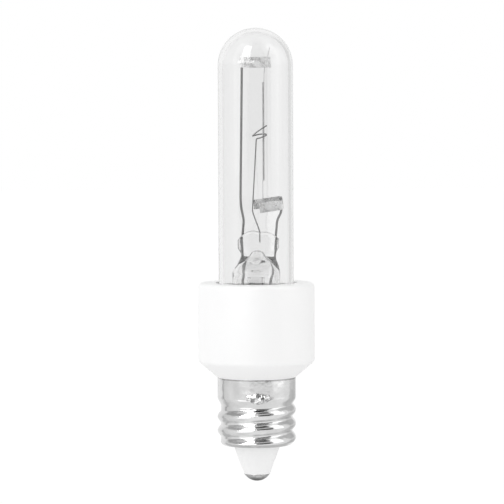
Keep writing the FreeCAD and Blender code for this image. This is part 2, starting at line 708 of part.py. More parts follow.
def support_points():
    """From the press to the left of the filament, up beside it and once and a half round it."""
    loop_z = COIL_TOP_Z - SUPPORT_BELOW_COIL_TOP
    ring = COIL_RADIUS + SUPPORT_RADIUS + SLIP_GAP
    left = FILAMENT_X - PIGTAIL_TO_LEFT
    right = FILAMENT_X + 2 * ring
    front = FILAMENT_Y - 1.3 * ring
    back = FILAMENT_Y + 1.3 * ring
    return [
        Vector(SUPPORT_FOOT_X, 0, PRESS_TOP_Z - SUPPORT_DEPTH),
        Vector(SUPPORT_FOOT_X - SEAT_GAP, 0, PRESS_TOP_Z - SUPPORT_RADIUS),
        Vector(SUPPORT_KNEE_X, 0, PRESS_TOP_Z + SUPPORT_KNEE_HEIGHT),
        Vector(FILAMENT_X - PIGTAIL_TO_LEFT / 2 - 2 * SUPPORT_RADIUS, front, loop_z),
        Vector(right, front, loop_z + PIGTAIL_RISE * 0.2),
        Vector(right, back, loop_z + PIGTAIL_RISE * 0.3),
        Vector(left, back, loop_z + PIGTAIL_RISE * 0.25),
        Vector(left, front, loop_z + PIGTAIL_RISE * 0.45),
        Vector(right, front, loop_z + PIGTAIL_RISE),
    ]


def sealed_wires():
    """The wires that run through the press, with their radii."""
    return [
        (long_seal_points(), SEAL_WIRE_RADIUS),
        (short_seal_points(), SEAL_WIRE_RADIUS),
        (long_lead_points()[:3], INNER_LEAD_RADIUS),
        (short_lead_points()[:3], INNER_LEAD_RADIUS),
        (shell_lead_points()[:3], OUTER_LEAD_RADIUS),
        (contact_lead_points()[:3], OUTER_LEAD_RADIUS),
        (support_points()[:3], SUPPORT_RADIUS),
    ]


# Filament and clips

def filament():
    """The coil as a tube of its own outer size, with a straight tail from each end of its wall."""
    base = Vector(FILAMENT_X, FILAMENT_Y, COIL_FOOT_Z)
    coil = Part.makeCylinder(COIL_RADIUS, FILAMENT_LENGTH, base)
    bore = Part.makeCylinder(COIL_BORE, FILAMENT_LENGTH, base)
    wall_r = (COIL_RADIUS + COIL_BORE) / 2
    low = Vector(FILAMENT_X - wall_r, FILAMENT_Y, COIL_FOOT_Z + COIL_RADIUS)
    down = bent_wire([low, low - AXIS * LOWER_TAIL], TAIL_RADIUS)
    high = Vector(FILAMENT_X + wall_r, FILAMENT_Y, COIL_TOP_Z - COIL_RADIUS)
    inside = Vector(high.x, FILAMENT_Y, UPPER_CLIP_FOOT_Z - 2 * COIL_RADIUS)
    clip_top = Vector(high.x + UPPER_TAIL_LEAN, FILAMENT_Y, UPPER_CLIP_TOP_Z)
    end = clip_top + Vector(UPPER_TAIL_LEAN * 0.6, 0, TAIL_END)
    up = bent_wire([high, inside, clip_top, end], TAIL_RADIUS)
    return coil.cut(bore).fuse([down, up])


def upper_filament_clip():
    """The ribbon that hooks round the long lead, crosses behind it and folds back over the upper tail."""
    left = LONG_LEAD_TOP_X - CLIP_BACK_Y
    right = left + UPPER_CLIP_LENGTH - RIBBON_SHEET
    z = UPPER_CLIP_FOOT_Z
    back = CLIP_BACK_Y
    fold = back - FOLD_GAP
    path = [
        Vector(left + UPPER_CLIP_HOOK, -back, z),
        Vector(left, -back, z),
        Vector(left, back, z),
        Vector(right, back, z),
        Vector(right, fold, z),
        Vector(right - UPPER_FLAP_TOP_LENGTH, fold, z),
    ]
    strip = ribbon(path, RIBBON_HEIGHT)
    edge = right + RIBBON_SHEET / 2
    corner = Vector(edge - UPPER_FLAP_BOTTOM_LENGTH, back - RIBBON_SHEET, z - SEAT_GAP)
    far = Vector(edge - 2 * UPPER_FLAP_TOP_LENGTH, corner.y, corner.z)
    high = Vector(edge - UPPER_FLAP_TOP_LENGTH, corner.y, z + RIBBON_HEIGHT + SEAT_GAP)
    high_far = Vector(far.x, far.y, high.z)
    face = Part.Face(Part.makePolygon([corner, high, high_far, far, corner]))
    return strip.cut(face.extrude(Vector(0, -FOLD_GAP, 0)))


def lower_filament_clip():
    """The ribbon that turns back round the short lead, with the lower tail against its back leg."""
    half = LOWER_CLIP_GAP / 2
    right = INNER_LEAD_RADIUS + WELD_GAP + RIBBON_SHEET / 2
    foot = -RIBBON_HEIGHT / 2
    path = [
        Vector(right - LOWER_CLIP_BACK_LENGTH, half, foot),
        Vector(right, half, foot),
        Vector(right, -half, foot),
        Vector(right - LOWER_CLIP_FRONT_LENGTH, -half, foot),
    ]
    strip = ribbon(path, RIBBON_HEIGHT)
    strip.Placement = FreeCAD.Placement(Vector(SHORT_LEAD_X, 0, LOWER_CLIP_Z), lower_clip_turn())
    return strip


# Solder

def lump(width, height, proud, degrees, z):
    """An egg of solder on the skirt: width round it, height along it and proud out of it."""
    stretch = Matrix()
    stretch.scale(proud, width / 2, height / 2)
    egg = Part.makeSphere(1).transformGeometry(stretch)
    egg.Placement = FreeCAD.Placement(polar(THREAD_MAJOR_RADIUS, degrees, z), Rotation(AXIS, degrees))
    return egg


def shell_solder():
    """Three lumps run together over the lead's hole, seated on the skirt."""
    lumps = [lump(MIDDLE_LUMP_WIDTH, LUMP_HEIGHT, LUMP_PROUD, LEAD_HOLE_ANGLE, LEAD_HOLE_Z)]
    turn = math.degrees(LUMP_SPACING / THREAD_MAJOR_RADIUS)
    for side in (-1, 1):
        height = LUMP_HEIGHT * SIDE_LUMP_SHARE
        proud = LUMP_PROUD * SIDE_LUMP_SHARE
        z = LEAD_HOLE_Z + side * LUMP_STAGGER
        lumps.append(lump(SIDE_LUMP_WIDTH, height, proud, LEAD_HOLE_ANGLE + side * turn, z))
    return lumps[0].fuse(lumps[1:]).cut(shell_blank(-SEAT_GAP))


def write(name, shape):
    """Save one piece as a STEP file, after making sure that it is one sound solid."""
    if not shape.isValid() or len(shape.Solids) != 1:
        raise ValueError(f"{name} is not one sound solid")
    shape.Solids[0].exportStep(f"parts/{name}.step")


PIECES = {
    "glass_envelope": glass_envelope,
    "stem_flare": stem_flare,
    "exhaust_tube": exhaust_tube,
    "long_inner_lead": lambda: bent_wire(long_lead_points(), INNER_LEAD_RADIUS),
    "short_inner_lead": lambda: bent_wire(short_lead_points(), INNER_LEAD_RADIUS),
    "long_seal_wire": lambda: bent_wire(long_seal_points(), SEAL_WIRE_RADIUS),
    "short_seal_wire": lambda: bent_wire(short_seal_points(), SEAL_WIRE_RADIUS),
    "shell_lead": lambda: bent_wire(shell_lead_points(), OUTER_LEAD_RADIUS),
    "contact_lead": lambda: bent_wire(contact_lead_points(), OUTER_LEAD_RADIUS),
    "filament": filament,
    "filament_support": lambda: bent_wire(support_points(), SUPPORT_RADIUS),
    "upper_filament_clip": upper_filament_clip,
    "lower_filament_clip": lower_filament_clip,
    "ceramic_collar": ceramic_collar,
    "basing_cement": basing_cement,
    "screw_shell": screw_shell,
    "tip_insulator": tip_insulator,
    "centre_contact": centre_contact,
    "shell_solder": shell_solder,
    "contact_solder": contact_solder,
}

os.makedirs("parts", exist_ok=True)
for piece_name, make in PIECES.items():
    write(piece_name, make())
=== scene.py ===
"""The looks of a clear tubular lamp with a white collar and a small screw base.

Blender's metres, +Z up along the lamp's axis. The camera looks along +Y at the side with the solder.
Each piece is worked out in millimetres as a grid of points, and stands in the place of one node of the
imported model.
"""
import math

import bmesh
import bpy
import numpy as np
from mathutils import Matrix, Vector


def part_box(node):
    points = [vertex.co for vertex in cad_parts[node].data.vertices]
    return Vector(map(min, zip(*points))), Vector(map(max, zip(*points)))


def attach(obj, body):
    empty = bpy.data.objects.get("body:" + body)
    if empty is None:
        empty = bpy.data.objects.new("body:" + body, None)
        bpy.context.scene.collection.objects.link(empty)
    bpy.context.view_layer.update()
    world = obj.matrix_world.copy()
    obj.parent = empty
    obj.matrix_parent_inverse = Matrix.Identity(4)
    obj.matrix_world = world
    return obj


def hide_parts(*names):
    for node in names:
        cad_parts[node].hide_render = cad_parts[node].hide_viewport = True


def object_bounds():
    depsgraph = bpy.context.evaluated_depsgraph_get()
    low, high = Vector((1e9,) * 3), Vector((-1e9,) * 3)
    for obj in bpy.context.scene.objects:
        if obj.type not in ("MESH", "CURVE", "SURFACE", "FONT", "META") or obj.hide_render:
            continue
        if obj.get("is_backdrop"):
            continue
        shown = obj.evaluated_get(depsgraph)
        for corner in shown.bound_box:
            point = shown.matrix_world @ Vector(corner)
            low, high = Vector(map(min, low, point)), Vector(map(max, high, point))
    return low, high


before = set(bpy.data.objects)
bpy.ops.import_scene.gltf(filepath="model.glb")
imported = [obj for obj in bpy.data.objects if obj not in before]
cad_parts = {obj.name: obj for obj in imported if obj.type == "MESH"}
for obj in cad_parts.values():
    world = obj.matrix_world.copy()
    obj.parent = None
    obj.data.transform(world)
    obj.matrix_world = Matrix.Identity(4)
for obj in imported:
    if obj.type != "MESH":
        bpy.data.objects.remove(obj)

bl_info = {
    "name": "Clear tubular lamp",
    "version": (1, 0, 0),
    "blender": (4, 5, 0),
    "location": "3D View > Sidebar > Lamp",
    "description": "Glass, wires, collar and screw shell of a clear tubular lamp",
    "category": "Add Mesh",
}

MM = 0.001


def span(node):
    """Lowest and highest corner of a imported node, in millimetres."""
    low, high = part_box(node)
    return np.array(low) / MM, np.array(high) / MM


GLASS_LOW, GLASS_HIGH = span("glass_envelope")
TUBE_LOW, TUBE_HIGH = span("exhaust_tube")
COLLAR_LOW, COLLAR_HIGH = span("ceramic_collar")
CEMENT_LOW, CEMENT_HIGH = span("basing_cement")
SHELL_LOW, SHELL_HIGH = span("screw_shell")
CONE_FOOT = span("tip_insulator")[0][2]
FILAMENT_FOOT = span("filament")[0][2]
UPPER_CLIP_Z = span("upper_filament_clip")[0][2]

# Glass, in millimetres
GLASS_RADIUS = GLASS_HIGH[0]
GLASS_FOOT = GLASS_LOW[2]
GLASS_TOP = GLASS_HIGH[2]
PRESS_TOP = 35.30
PRESS_FOOT = 31.90
PRESS_CENTRE = 0.32
PRESS_FOOT_HALF_WIDTH = 2.45
PRESS_HALF_WIDTH = 2.90
PRESS_HALF_DEPTH = 0.95
TOP_ROUND = 0.35
SHOULDER_Z = 29.20
BELL_RADIUS = 4.63
BELL_HEIGHT = 3.6
FLARE_RADIUS = 3.35
FLARE_WALL = 0.60
BLOWN_X = -0.07
BLOWN_Z = 31.45
BLOWN_RADIUS = 0.75
BLOWN_SWELL = 0.30
EXHAUST_RADIUS = 1.2
EXHAUST_BORE = 0.8

# Wires and clips, in millimetres; LEAD_TO_SHEET is from a lead's middle to that of the sheet round it
SEAL_TOP = 33.90
SEAL_FOOT = 31.00
SEAL_LEAN = 0.25
SEAL_GAP = 0.04
LONG_SEAL_X = -1.95
SHORT_SEAL_X = 2.72
LONG_LEAD_X = -1.88
SHORT_LEAD_X = 3.515
FLARE_LEAD_X = 1.94
FLARE_LEAD_Z = 28.01
BEAD_RADIUS = 0.34
BEAD_REACH = 0.8
COIL_FOOT = 42.10
COIL_TOP = 56.10
COIL_X = 1.10
COIL_Y = 0.12
COIL_RADIUS = 0.17
TAIL_ASIDE = 0.12
SUPPORT_X = 0.53
LEAD_TO_SHEET = 0.235
RIBBON_HEIGHT = 1.50
UPPER_CLIP_WIDTH = 4.26
FLAP_FOOT = 0.90
FLAP_TOP = 1.93
LOWER_CLIP_Z = 39.15
LOWER_CLIP_HALF_GAP = 0.67

# Base, in millimetres, but for angles in degrees and the shares CREST_CUT and ROOT_ROUND
SHELL_FOOT = SHELL_LOW[2]
SHELL_TOP = SHELL_HIGH[2]
SHELL_RADIUS = SHELL_HIGH[0]
SHELL_CORNER = 0.4
FLOOR_HOLE = 3.37
CREST_Z = 6.19
CREST_CUT = 0.22
ROOT_ROUND = 0.1
THREAD_START = -200
THREAD_FADE_IN = 80
THREAD_END = 820
THREAD_FADE_OUT = 90
SKIRT_FOOT = 10.60
SKIRT_RISE = 1.30
COLLAR_BORE = 3.31
SPIGOT_RADIUS = 5.21
RECESS_RADIUS = 5.65
RECESS_FLOOR = 18.20
LEAD_HOLE_ANGLE = 273.5
LEAD_HOLE_Z = 12.11
CONTACT_BALL = 2.14
CONTACT_SHEET = 0.25
SOLDER_HALF_WIDTH = 1.93
SOLDER_HALF_HEIGHT = 0.70
SOLDER_RISE = 0.40
# Painted shade: below these heights, in millimetres, the tip's contact and solder darken towards their
# bottom
PAINTED_SHADE_SPAN = (0.05, 0.85)

# Lumps of the skirt's solder: place across and up, reach and swell
SOLDER_LUMPS = (
    (-1.30, -0.12, 0.40, 0.50),
    (-0.50, 0.22, 0.34, 0.52),
    (0.20, -0.18, 0.38, 0.56),
    (0.90, 0.16, 0.36, 0.56),
    (1.50, -0.05, 0.30, 0.50),
)


def millimetres(name, description, default, low=0.0, high=0.1):
    """A length property whose default is given in millimetres."""
    return bpy.props.FloatProperty(
        name=name, description=description, default=default * MM, min=low, max=high, precision=5,
        unit="LENGTH",
    )


def colour(name, description, default):
    """A colour property."""
    return bpy.props.FloatVectorProperty(
        name=name, description=description, default=default, min=0.0, max=1.0, size=3, subtype="COLOR",
    )


def brightness(name, description, default):
    """A property for a level of light, where 1 shows as white."""
    return bpy.props.FloatProperty(name=name, description=description, default=default)


class GlassSettings(bpy.types.PropertyGroup):
    """The glass of the tube and of the stem."""

    wall: millimetres("Wall", "Thickness of the tube's glass", 0.60)
    clear: colour("Clear glass", "Tint of the tube's glass", (0.975, 0.975, 0.975))
    worked: colour("Worked glass", "Tint of the stem, which a flame has worked", (0.95, 0.95, 0.95))


class WireSettings(bpy.types.PropertyGroup):
    """Leads, clips, support and filament."""

    lead_radius: millimetres("Lead radius", "Radius of the two leads in the glass", 0.165)
    seal_radius: millimetres("Seal radius", "Radius of the wires sealed in the press", 0.18)
    outer_radius: millimetres("Outer lead radius", "Radius of the leads under the press", 0.20)
    support_radius: millimetres("Support radius", "Radius of the wire that holds the filament", 0.088)
    coil_wire: millimetres("Coil wire", "Radius of the wire that the filament is wound from", 0.055)
    coil_pitch: millimetres("Coil pitch", "Rise of the filament in one turn", 0.16)
    ribbon: millimetres("Ribbon", "Thickness of the clips' sheet", 0.10)
    nickel: colour("Lead colour", "Drawn nickel of the leads", (0.21, 0.21, 0.21))
    sheet: colour("Clip colour", "Rolled ribbon of the clips", (0.90, 0.90, 0.90))
    tungsten: colour("Filament colour", "Tungsten of the filament", (0.72, 0.72, 0.72))
    support: colour("Support colour", "Drawn wire that holds the filament", (0.26, 0.26, 0.26))


class BaseSettings(bpy.types.PropertyGroup):
    """Collar, screw shell, tip and solder."""

    thread_depth: millimetres("Thread depth", "Height of the rolled thread over its root", 0.50)
    thread_pitch: millimetres("Thread pitch", "Rise of the thread in one turn", 1.95)
    sheet: millimetres("Shell sheet", "Thickness of the shell's sheet", 0.25)
    ceramic: colour("Ceramic", "White body of the collar", (0.945, 0.945, 0.945))
    insulator: colour("Insulator", "White body of the tip", (0.915, 0.915, 0.915))
    plate: colour("Plate", "Bright plate on the shell", (0.80, 0.80, 0.80))
    solder: colour("Solder", "Solder on the skirt and in the tip", (0.85, 0.85, 0.85))


class StudioSettings(bpy.types.PropertyGroup):
    """Camera, floor and lamps."""

    lens: bpy.props.FloatProperty(
        name="Lens", description="Focal length of the camera", default=200.0, unit="CAMERA",
    )
    floor_drop: millimetres("Floor drop", "How far the floor is under the lamp's tip", 30.0, high=1.0)
    backdrop: brightness("Backdrop through glass", "Level of the white backdrop seen through glass", 0.95)
    floor_share: brightness("Floor through glass", "Level of the white floor seen through glass", 0.83)
    left_lamp: brightness("Left lamp", "Radiance of the left softbox", 1.15)
    right_lamp: brightness("Right lamp", "Radiance of the right softbox", 0.65)


# Shapes

def eased(corners, ease, closed=False, steps=8):
    """A line through corners that are rounded off.

    Each corner C is cut back by its ease, at most 0.45 of its shorter side, to A and B on its two sides,
    and the turn is (1 - t)^2 A + 2 t (1 - t) C + t^2 B as t goes from 0 to 1.
    """
    corners = np.array(corners, float)
    before = np.roll(corners, 1, 0)
    after = np.roll(corners, -1, 0)
    middle = corners
    ease = np.broadcast_to(ease, len(corners))
    if not closed:
        before, middle, after, ease = before[1:-1], middle[1:-1], after[1:-1], ease[1:-1]
    run_in = np.linalg.norm(before - middle, axis=1)
    run_out = np.linalg.norm(after - middle, axis=1)
    cut = np.minimum(ease, 0.45 * np.minimum(run_in, run_out))
    start = middle + (before - middle) * (cut / run_in)[:, None]
    end = middle + (after - middle) * (cut / run_out)[:, None]
    t = np.linspace(0, 1, steps)[None, :, None]
    turns = (1 - t) ** 2 * start[:, None] + 2 * t * (1 - t) * middle[:, None] + t**2 * end[:, None]
    line = turns.reshape(-1, corners.shape[1])
    if closed:
        return line
    return np.vstack([corners[:1], line, corners[-1:]])


def circle_points(centre_z, radius, start, end, steps):
    """Outline points radius cos a, centre + radius sin a, where a goes from start to end, in degrees."""
    a = np.radians(np.linspace(start, end, steps))
    return np.stack([radius * np.cos(a), centre_z + radius * np.sin(a)], axis=-1)


def turned(outline, columns=128):
    """An outline turned about the axis: the point (r, z) goes to r cos a, r sin a, z."""
    a = np.linspace(0, 2 * np.pi, columns, endpoint=False)
    r = outline[:, :1]
    z = np.broadcast_to(outline[:, 1:], (len(outline), columns))
    return np.stack([r * np.cos(a), r * np.sin(a), z], axis=-1)


def tangents(line):
    """Unit directions along a line, by central differences."""
    along = np.gradient(line, axis=0)
    return along / np.linalg.norm(along, axis=1, keepdims=True)


def wire(line, radius, aside=(0, 1, 0), sides=16):
    """A round wire along a line, closed by a low dome at both ends.

    Around each point P the wire is P + r (cos a U + sin a V), where U is square to the line and to aside,
    and V is square to both. The radius r may change along the line.
    """
    line = np.array(line, float)
    t = tangents(line)
    r = np.broadcast_to(radius, len(line)).astype(float)
    u = np.cross(t, np.array(aside, float))
    u /= np.linalg.norm(u, axis=1, keepdims=True)
    v = np.cross(t, u)
    tip = np.array([0.0, 0.5, 0.85])
    start = line[0] - t[0] * r[0] * 0.4 * np.sqrt(1 - tip[:, None] ** 2)
    end = line[-1] + t[-1] * r[-1] * 0.4 * np.sqrt(1 - tip[::-1, None] ** 2)
    centres = np.vstack([start, line, end])
    radii = np.concatenate([r[0] * tip, r, r[-1] * tip[::-1]])
    u = np.vstack([np.repeat(u[:1], 3, 0), u, np.repeat(u[-1:], 3, 0)])
    v = np.vstack([np.repeat(v[:1], 3, 0), v, np.repeat(v[-1:], 3, 0)])
    a = np.linspace(0, 2 * np.pi, sides, endpoint=False)[None, :, None]
    return centres[:, None] + radii[:, None, None] * (np.cos(a) * u[:, None] + np.sin(a) * v[:, None])


def strip(line, sheet, height, foot):
    """Ribbon on edge along a level line: a rounded oblong of sheet by height carried along it.

    Around each point P the ribbon is P + s N + h Z, where N is level and square to the line,
    and (s, h) goes round an oblong with eased corners. The two ends are closed to their middle line.
    """
    line = np.array(line, float)
    t = tangents(line)
    n = np.stack([t[:, 1], -t[:, 0], np.zeros(len(t))], axis=-1)
    half = sheet / 2
    section = [(-half, 0), (half, 0), (half, height), (-half, height)]
    oblong = eased(section, sheet * 0.4, closed=True, steps=5)
    shrink = np.array([0.0, 0.7])
    start = np.repeat(line[:1], 2, 0) - t[0] * half * 0.5
    end = np.repeat(line[-1:], 2, 0) + t[-1] * half * 0.5
    line = np.vstack([start, line, end])
    n = np.vstack([np.repeat(n[:1], 2, 0), n, np.repeat(n[-1:], 2, 0)])
    scale = np.concatenate([shrink, np.ones(len(t)), shrink[::-1]])[:, None, None]
    across = oblong[None, :, :1] * scale
    up = oblong[None, :, 1:] + foot
    return line[:, None] + across * n[:, None] + up * np.array([0.0, 0.0, 1.0])


def add_piece(name, node, points, material, closed_rows=False):
    """A grid of points, in millimetres, as a closed mesh that stands for a node.

    Quads join each point to its neighbours in its row and in its column, and every row is a closed ring.
    With closed_rows the last row also joins the first. Points at one place are merged, which closes the
    poles, and open end rings get a face.
    """
    points = points * MM
    rows, columns = points.shape[:2]
    index = np.arange(rows * columns).reshape(rows, columns)
    index = np.hstack([index, index[:, :1]])
    if closed_rows:
        index = np.vstack([index, index[:1]])
    around = [index[:-1, :-1], index[:-1, 1:], index[1:, 1:], index[1:, :-1]]
    quads = np.stack(around, axis=-1).reshape(-1, 4)
    mesh = bpy.data.meshes.new(name)
    mesh.from_pydata(points.reshape(-1, 3), [], quads)
    weld(mesh)
    mesh.polygons.foreach_set("use_smooth", np.ones(len(mesh.polygons), dtype=bool))
    mesh.materials.append(material)
    piece = bpy.data.objects.new(name, mesh)
    bpy.context.scene.collection.objects.link(piece)
    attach(piece, "root")
    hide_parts(node)
    return piece


def weld(mesh):
    """Merge the points at one place, drop faces that this empties and turn all faces outwards."""
    work = bmesh.new()
    work.from_mesh(mesh)
    bmesh.ops.remove_doubles(work, verts=work.verts, dist=1e-7)
    bmesh.ops.holes_fill(work, edges=[edge for edge in work.edges if edge.is_boundary], sides=0)
    bmesh.ops.recalc_face_normals(work, faces=work.faces)
    work.to_mesh(mesh)
    work.free()


# Finishes

def add(tree, kind, inputs=None, **settings):
    """A node of a kind with its settings; an input is a value or another node's output."""
    node = tree.nodes.new(kind)
    for key, value in settings.items():
        setattr(node, key, value)
    for key, value in (inputs or {}).items():
        if isinstance(value, bpy.types.NodeSocket):
            tree.links.new(value, node.inputs[key])
        else:
            node.inputs[key].default_value = value
    return node


def math_node(tree, operation, a, b=0.0, c=0.0):
    """A Math node's result."""
    node = add(tree, "ShaderNodeMath", operation=operation)
    for socket, value in zip(node.inputs, (a, b, c)):
        if isinstance(value, bpy.types.NodeSocket):
            tree.links.new(value, socket)
        else:
            socket.default_value = value
    return node.outputs[0]


def new_material(name):
    """An empty material and its node tree."""
    material = bpy.data.materials.new(name)
    material.use_nodes = True
    material.node_tree.nodes.clear()
    return material, material.node_tree


def pattern(tree, per_mm, detail=3.0, stretch=(1.0, 1.0, 1.0)):
    """Noise over the piece in object space, so many blotches a millimetre, stretched along an axis."""
    place = add(tree, "ShaderNodeTexCoord")
    scale = [per_mm / MM / s for s in stretch]
    mapping = add(tree, "ShaderNodeMapping", {"Vector": place.outputs["Object"], "Scale": scale})
    noise = add(tree, "ShaderNodeTexNoise", {
        "Vector": mapping.outputs[0], "Scale": 1.0, "Detail": detail, "Roughness": 0.55,
    })
    return noise.outputs[0]


def ramp(tree, value, low, high, low_value, high_value):
    """A value carried smoothly from one range to another."""
    node = add(tree, "ShaderNodeMapRange", {
        "Value": value, "From Min": low, "From Max": high, "To Min": low_value, "To Max": high_value,
    }, interpolation_type="SMOOTHSTEP")
    return node.outputs[0]


def shades(tree, factor, dark, light):
    """Colour between two shades."""
    node = add(tree, "ShaderNodeMix", data_type="RGBA")
    tree.links.new(factor, node.inputs[0])
    node.inputs[6].default_value = (*dark, 1)
    node.inputs[7].default_value = (*light, 1)
    return node.outputs[2]


def bumped(tree, height, distance):
    """A surface normal bumped by a height, where 1 is so many millimetres."""
    bump = add(tree, "ShaderNodeBump", {"Height": height, "Distance": distance * MM, "Strength": 1.0})
    return bump.outputs[0]


def finish(tree, shader):
    """The material's surface."""
    output = add(tree, "ShaderNodeOutputMaterial")
    tree.links.new(shader, output.inputs["Surface"])


def darker(shade, share):
    """A colour times a share."""
    return tuple(channel * share for channel in shade)


def glass(name, tint, ripple_per_mm, ripple, stretch, ior=1.5):
    """Clear glass with faint ripples, which lets the lamps' light straight through."""
    material, tree = new_material(name)
    cloud = pattern(tree, 0.12, detail=2.0)
    rib = pattern(tree, ripple_per_mm, detail=2.0, stretch=stretch)
    body = add(tree, "ShaderNodeBsdfPrincipled", {
        "Base Color": shades(tree, cloud, darker(tint, 0.985), tint),
        "Roughness": 0.0, "IOR": ior, "Transmission Weight": 1.0,
        "Normal": bumped(tree, rib, ripple),
    })
    through = add(tree, "ShaderNodeBsdfTransparent", {"Color": (*darker(tint, 0.98), 1)})
    path = add(tree, "ShaderNodeLightPath")
    both = add(tree, "ShaderNodeMixShader", {0: path.outputs["Is Shadow Ray"]})
    tree.links.new(body.outputs[0], both.inputs[1])
    tree.links.new(through.outputs[0], both.inputs[2])
    finish(tree, both.outputs[0])
    return material


def metal(
    name, tone, low_share=0.7, roughness=(0.25, 0.45), per_mm=1.2, stretch=(1, 1, 1), grain=6.0,
    bump=0.004, painted_shade=None,
):
    """Metal with a cloudy tone and gloss and a fine grain, which stretch draws out along an axis.

    An optional span of heights, in millimetres, over which the tone rises from about an eighth to its
    full value paints shade towards the bottom, for the dark that a dome facing down mirrors from below.
    """
    material, tree = new_material(name)
    cloud = pattern(tree, per_mm, stretch=stretch)
    fine = pattern(tree, grain, detail=4.0, stretch=stretch)
    both = math_node(tree, "MULTIPLY_ADD", fine, 0.35, math_node(tree, "MULTIPLY", cloud, 0.65))
    base = shades(tree, ramp(tree, both, 0.35, 0.62, 0, 1), darker(tone, low_share), tone)
    # Painted shade: the tone darkens towards the bottom, for the dark a dome facing down mirrors from below
    if painted_shade:
        place = add(tree, "ShaderNodeTexCoord")
        up = add(tree, "ShaderNodeSeparateXYZ", {0: place.outputs["Object"]}).outputs[2]
        mix = add(tree, "ShaderNodeMix", data_type="RGBA", blend_type="MULTIPLY")
        tree.links.new(ramp(tree, up, painted_shade[0] * MM, painted_shade[1] * MM, 1, 0), mix.inputs[0])
        tree.links.new(base, mix.inputs[6])
        mix.inputs[7].default_value = (0.12, 0.12, 0.12, 1)
        base = mix.outputs[2]
    body = add(tree, "ShaderNodeBsdfPrincipled", {
        "Base Color": base,
        "Roughness": ramp(tree, cloud, 0.3, 0.7, roughness[0], roughness[1]),
        "Metallic": 1.0,
        "Normal": bumped(tree, fine, bump),
    })
    finish(tree, body.outputs[0])
    return material


def fired(name, tone, roughness, specks=0.96, per_mm=3.0, bump=0.006):
    """White fired body: faint clouds, a few pin specks and a fine orange-peel surface."""
    material, tree = new_material(name)
    cloud = pattern(tree, 0.25, detail=4.0)
    fine = pattern(tree, per_mm, detail=5.0)
    pores = pattern(tree, 5.0, detail=0.0)
    base = shades(tree, cloud, darker(tone, 0.975), tone)
    speck = add(tree, "ShaderNodeMix", data_type="RGBA", blend_type="MULTIPLY")
    tree.links.new(ramp(tree, pores, 0.78, 0.86, 0, 1), speck.inputs[0])
    tree.links.new(base, speck.inputs[6])
    speck.inputs[7].default_value = (specks, specks, specks, 1)
    body = add(tree, "ShaderNodeBsdfPrincipled", {
        "Base Color": speck.outputs[2],
        "Roughness": ramp(tree, fine, 0.3, 0.7, roughness[0], roughness[1]),
        "Specular IOR Level": 0.5,
        "Normal": bumped(tree, fine, bump),
    })
    finish(tree, body.outputs[0])
    return material


# Glass

def envelope_points(settings):
    """The tube's outer wall from its dome's top to its foot, and its inner wall back up to the dome."""
    centre = GLASS_TOP - GLASS_RADIUS
    inner = GLASS_RADIUS - settings.wall / MM
    outside = circle_points(centre, GLASS_RADIUS, 90, 0, 40)
    inside = circle_points(centre, inner, 0, 90, 40)
    outside[0, 0] = 0
    inside[-1, 0] = 0
    lip = eased([
        (GLASS_RADIUS, centre - 2), (GLASS_RADIUS, GLASS_FOOT), (inner, GLASS_FOOT), (inner, centre - 2),
    ], 0.25)
    return turned(np.vstack([outside, lip, inside]), 160)


class LAMP_OT_envelope(bpy.types.Operator):
    """The clear glass tube with its round dome, in two walls."""

    bl_idname = "lamp.envelope"
    bl_label = "Glass tube"

    def execute(self, context):
        settings = context.scene.lamp_glass
        material = glass("drawn_clear_glass", settings.clear, 0.5, 0.002, (1, 1, 12))
        add_piece("clear_tube", "glass_envelope", envelope_points(settings), material)
        return {"FINISHED"}


def press_top(x):
    """Height of the press's top: two low arches that meet in a dip at the support wire.

    Each arch falls with the square of the distance from its peak, faster outwards than inwards.
    """
    left = np.where(x < -0.55, 0.26, 0.17) * (x + 0.55) ** 2
    right = 0.14 + np.where(x < 1.25, 0.116, 0.20) * (x - 1.25) ** 2
    return PRESS_TOP - np.where(x < SUPPORT_X, left, right)


def smooth(t):
    """A step from 0 to 1 that starts and ends level: t^2 (3 - 2 t)."""
    t = np.clip(t, 0, 1)
    return t * t * (3 - 2 * t)


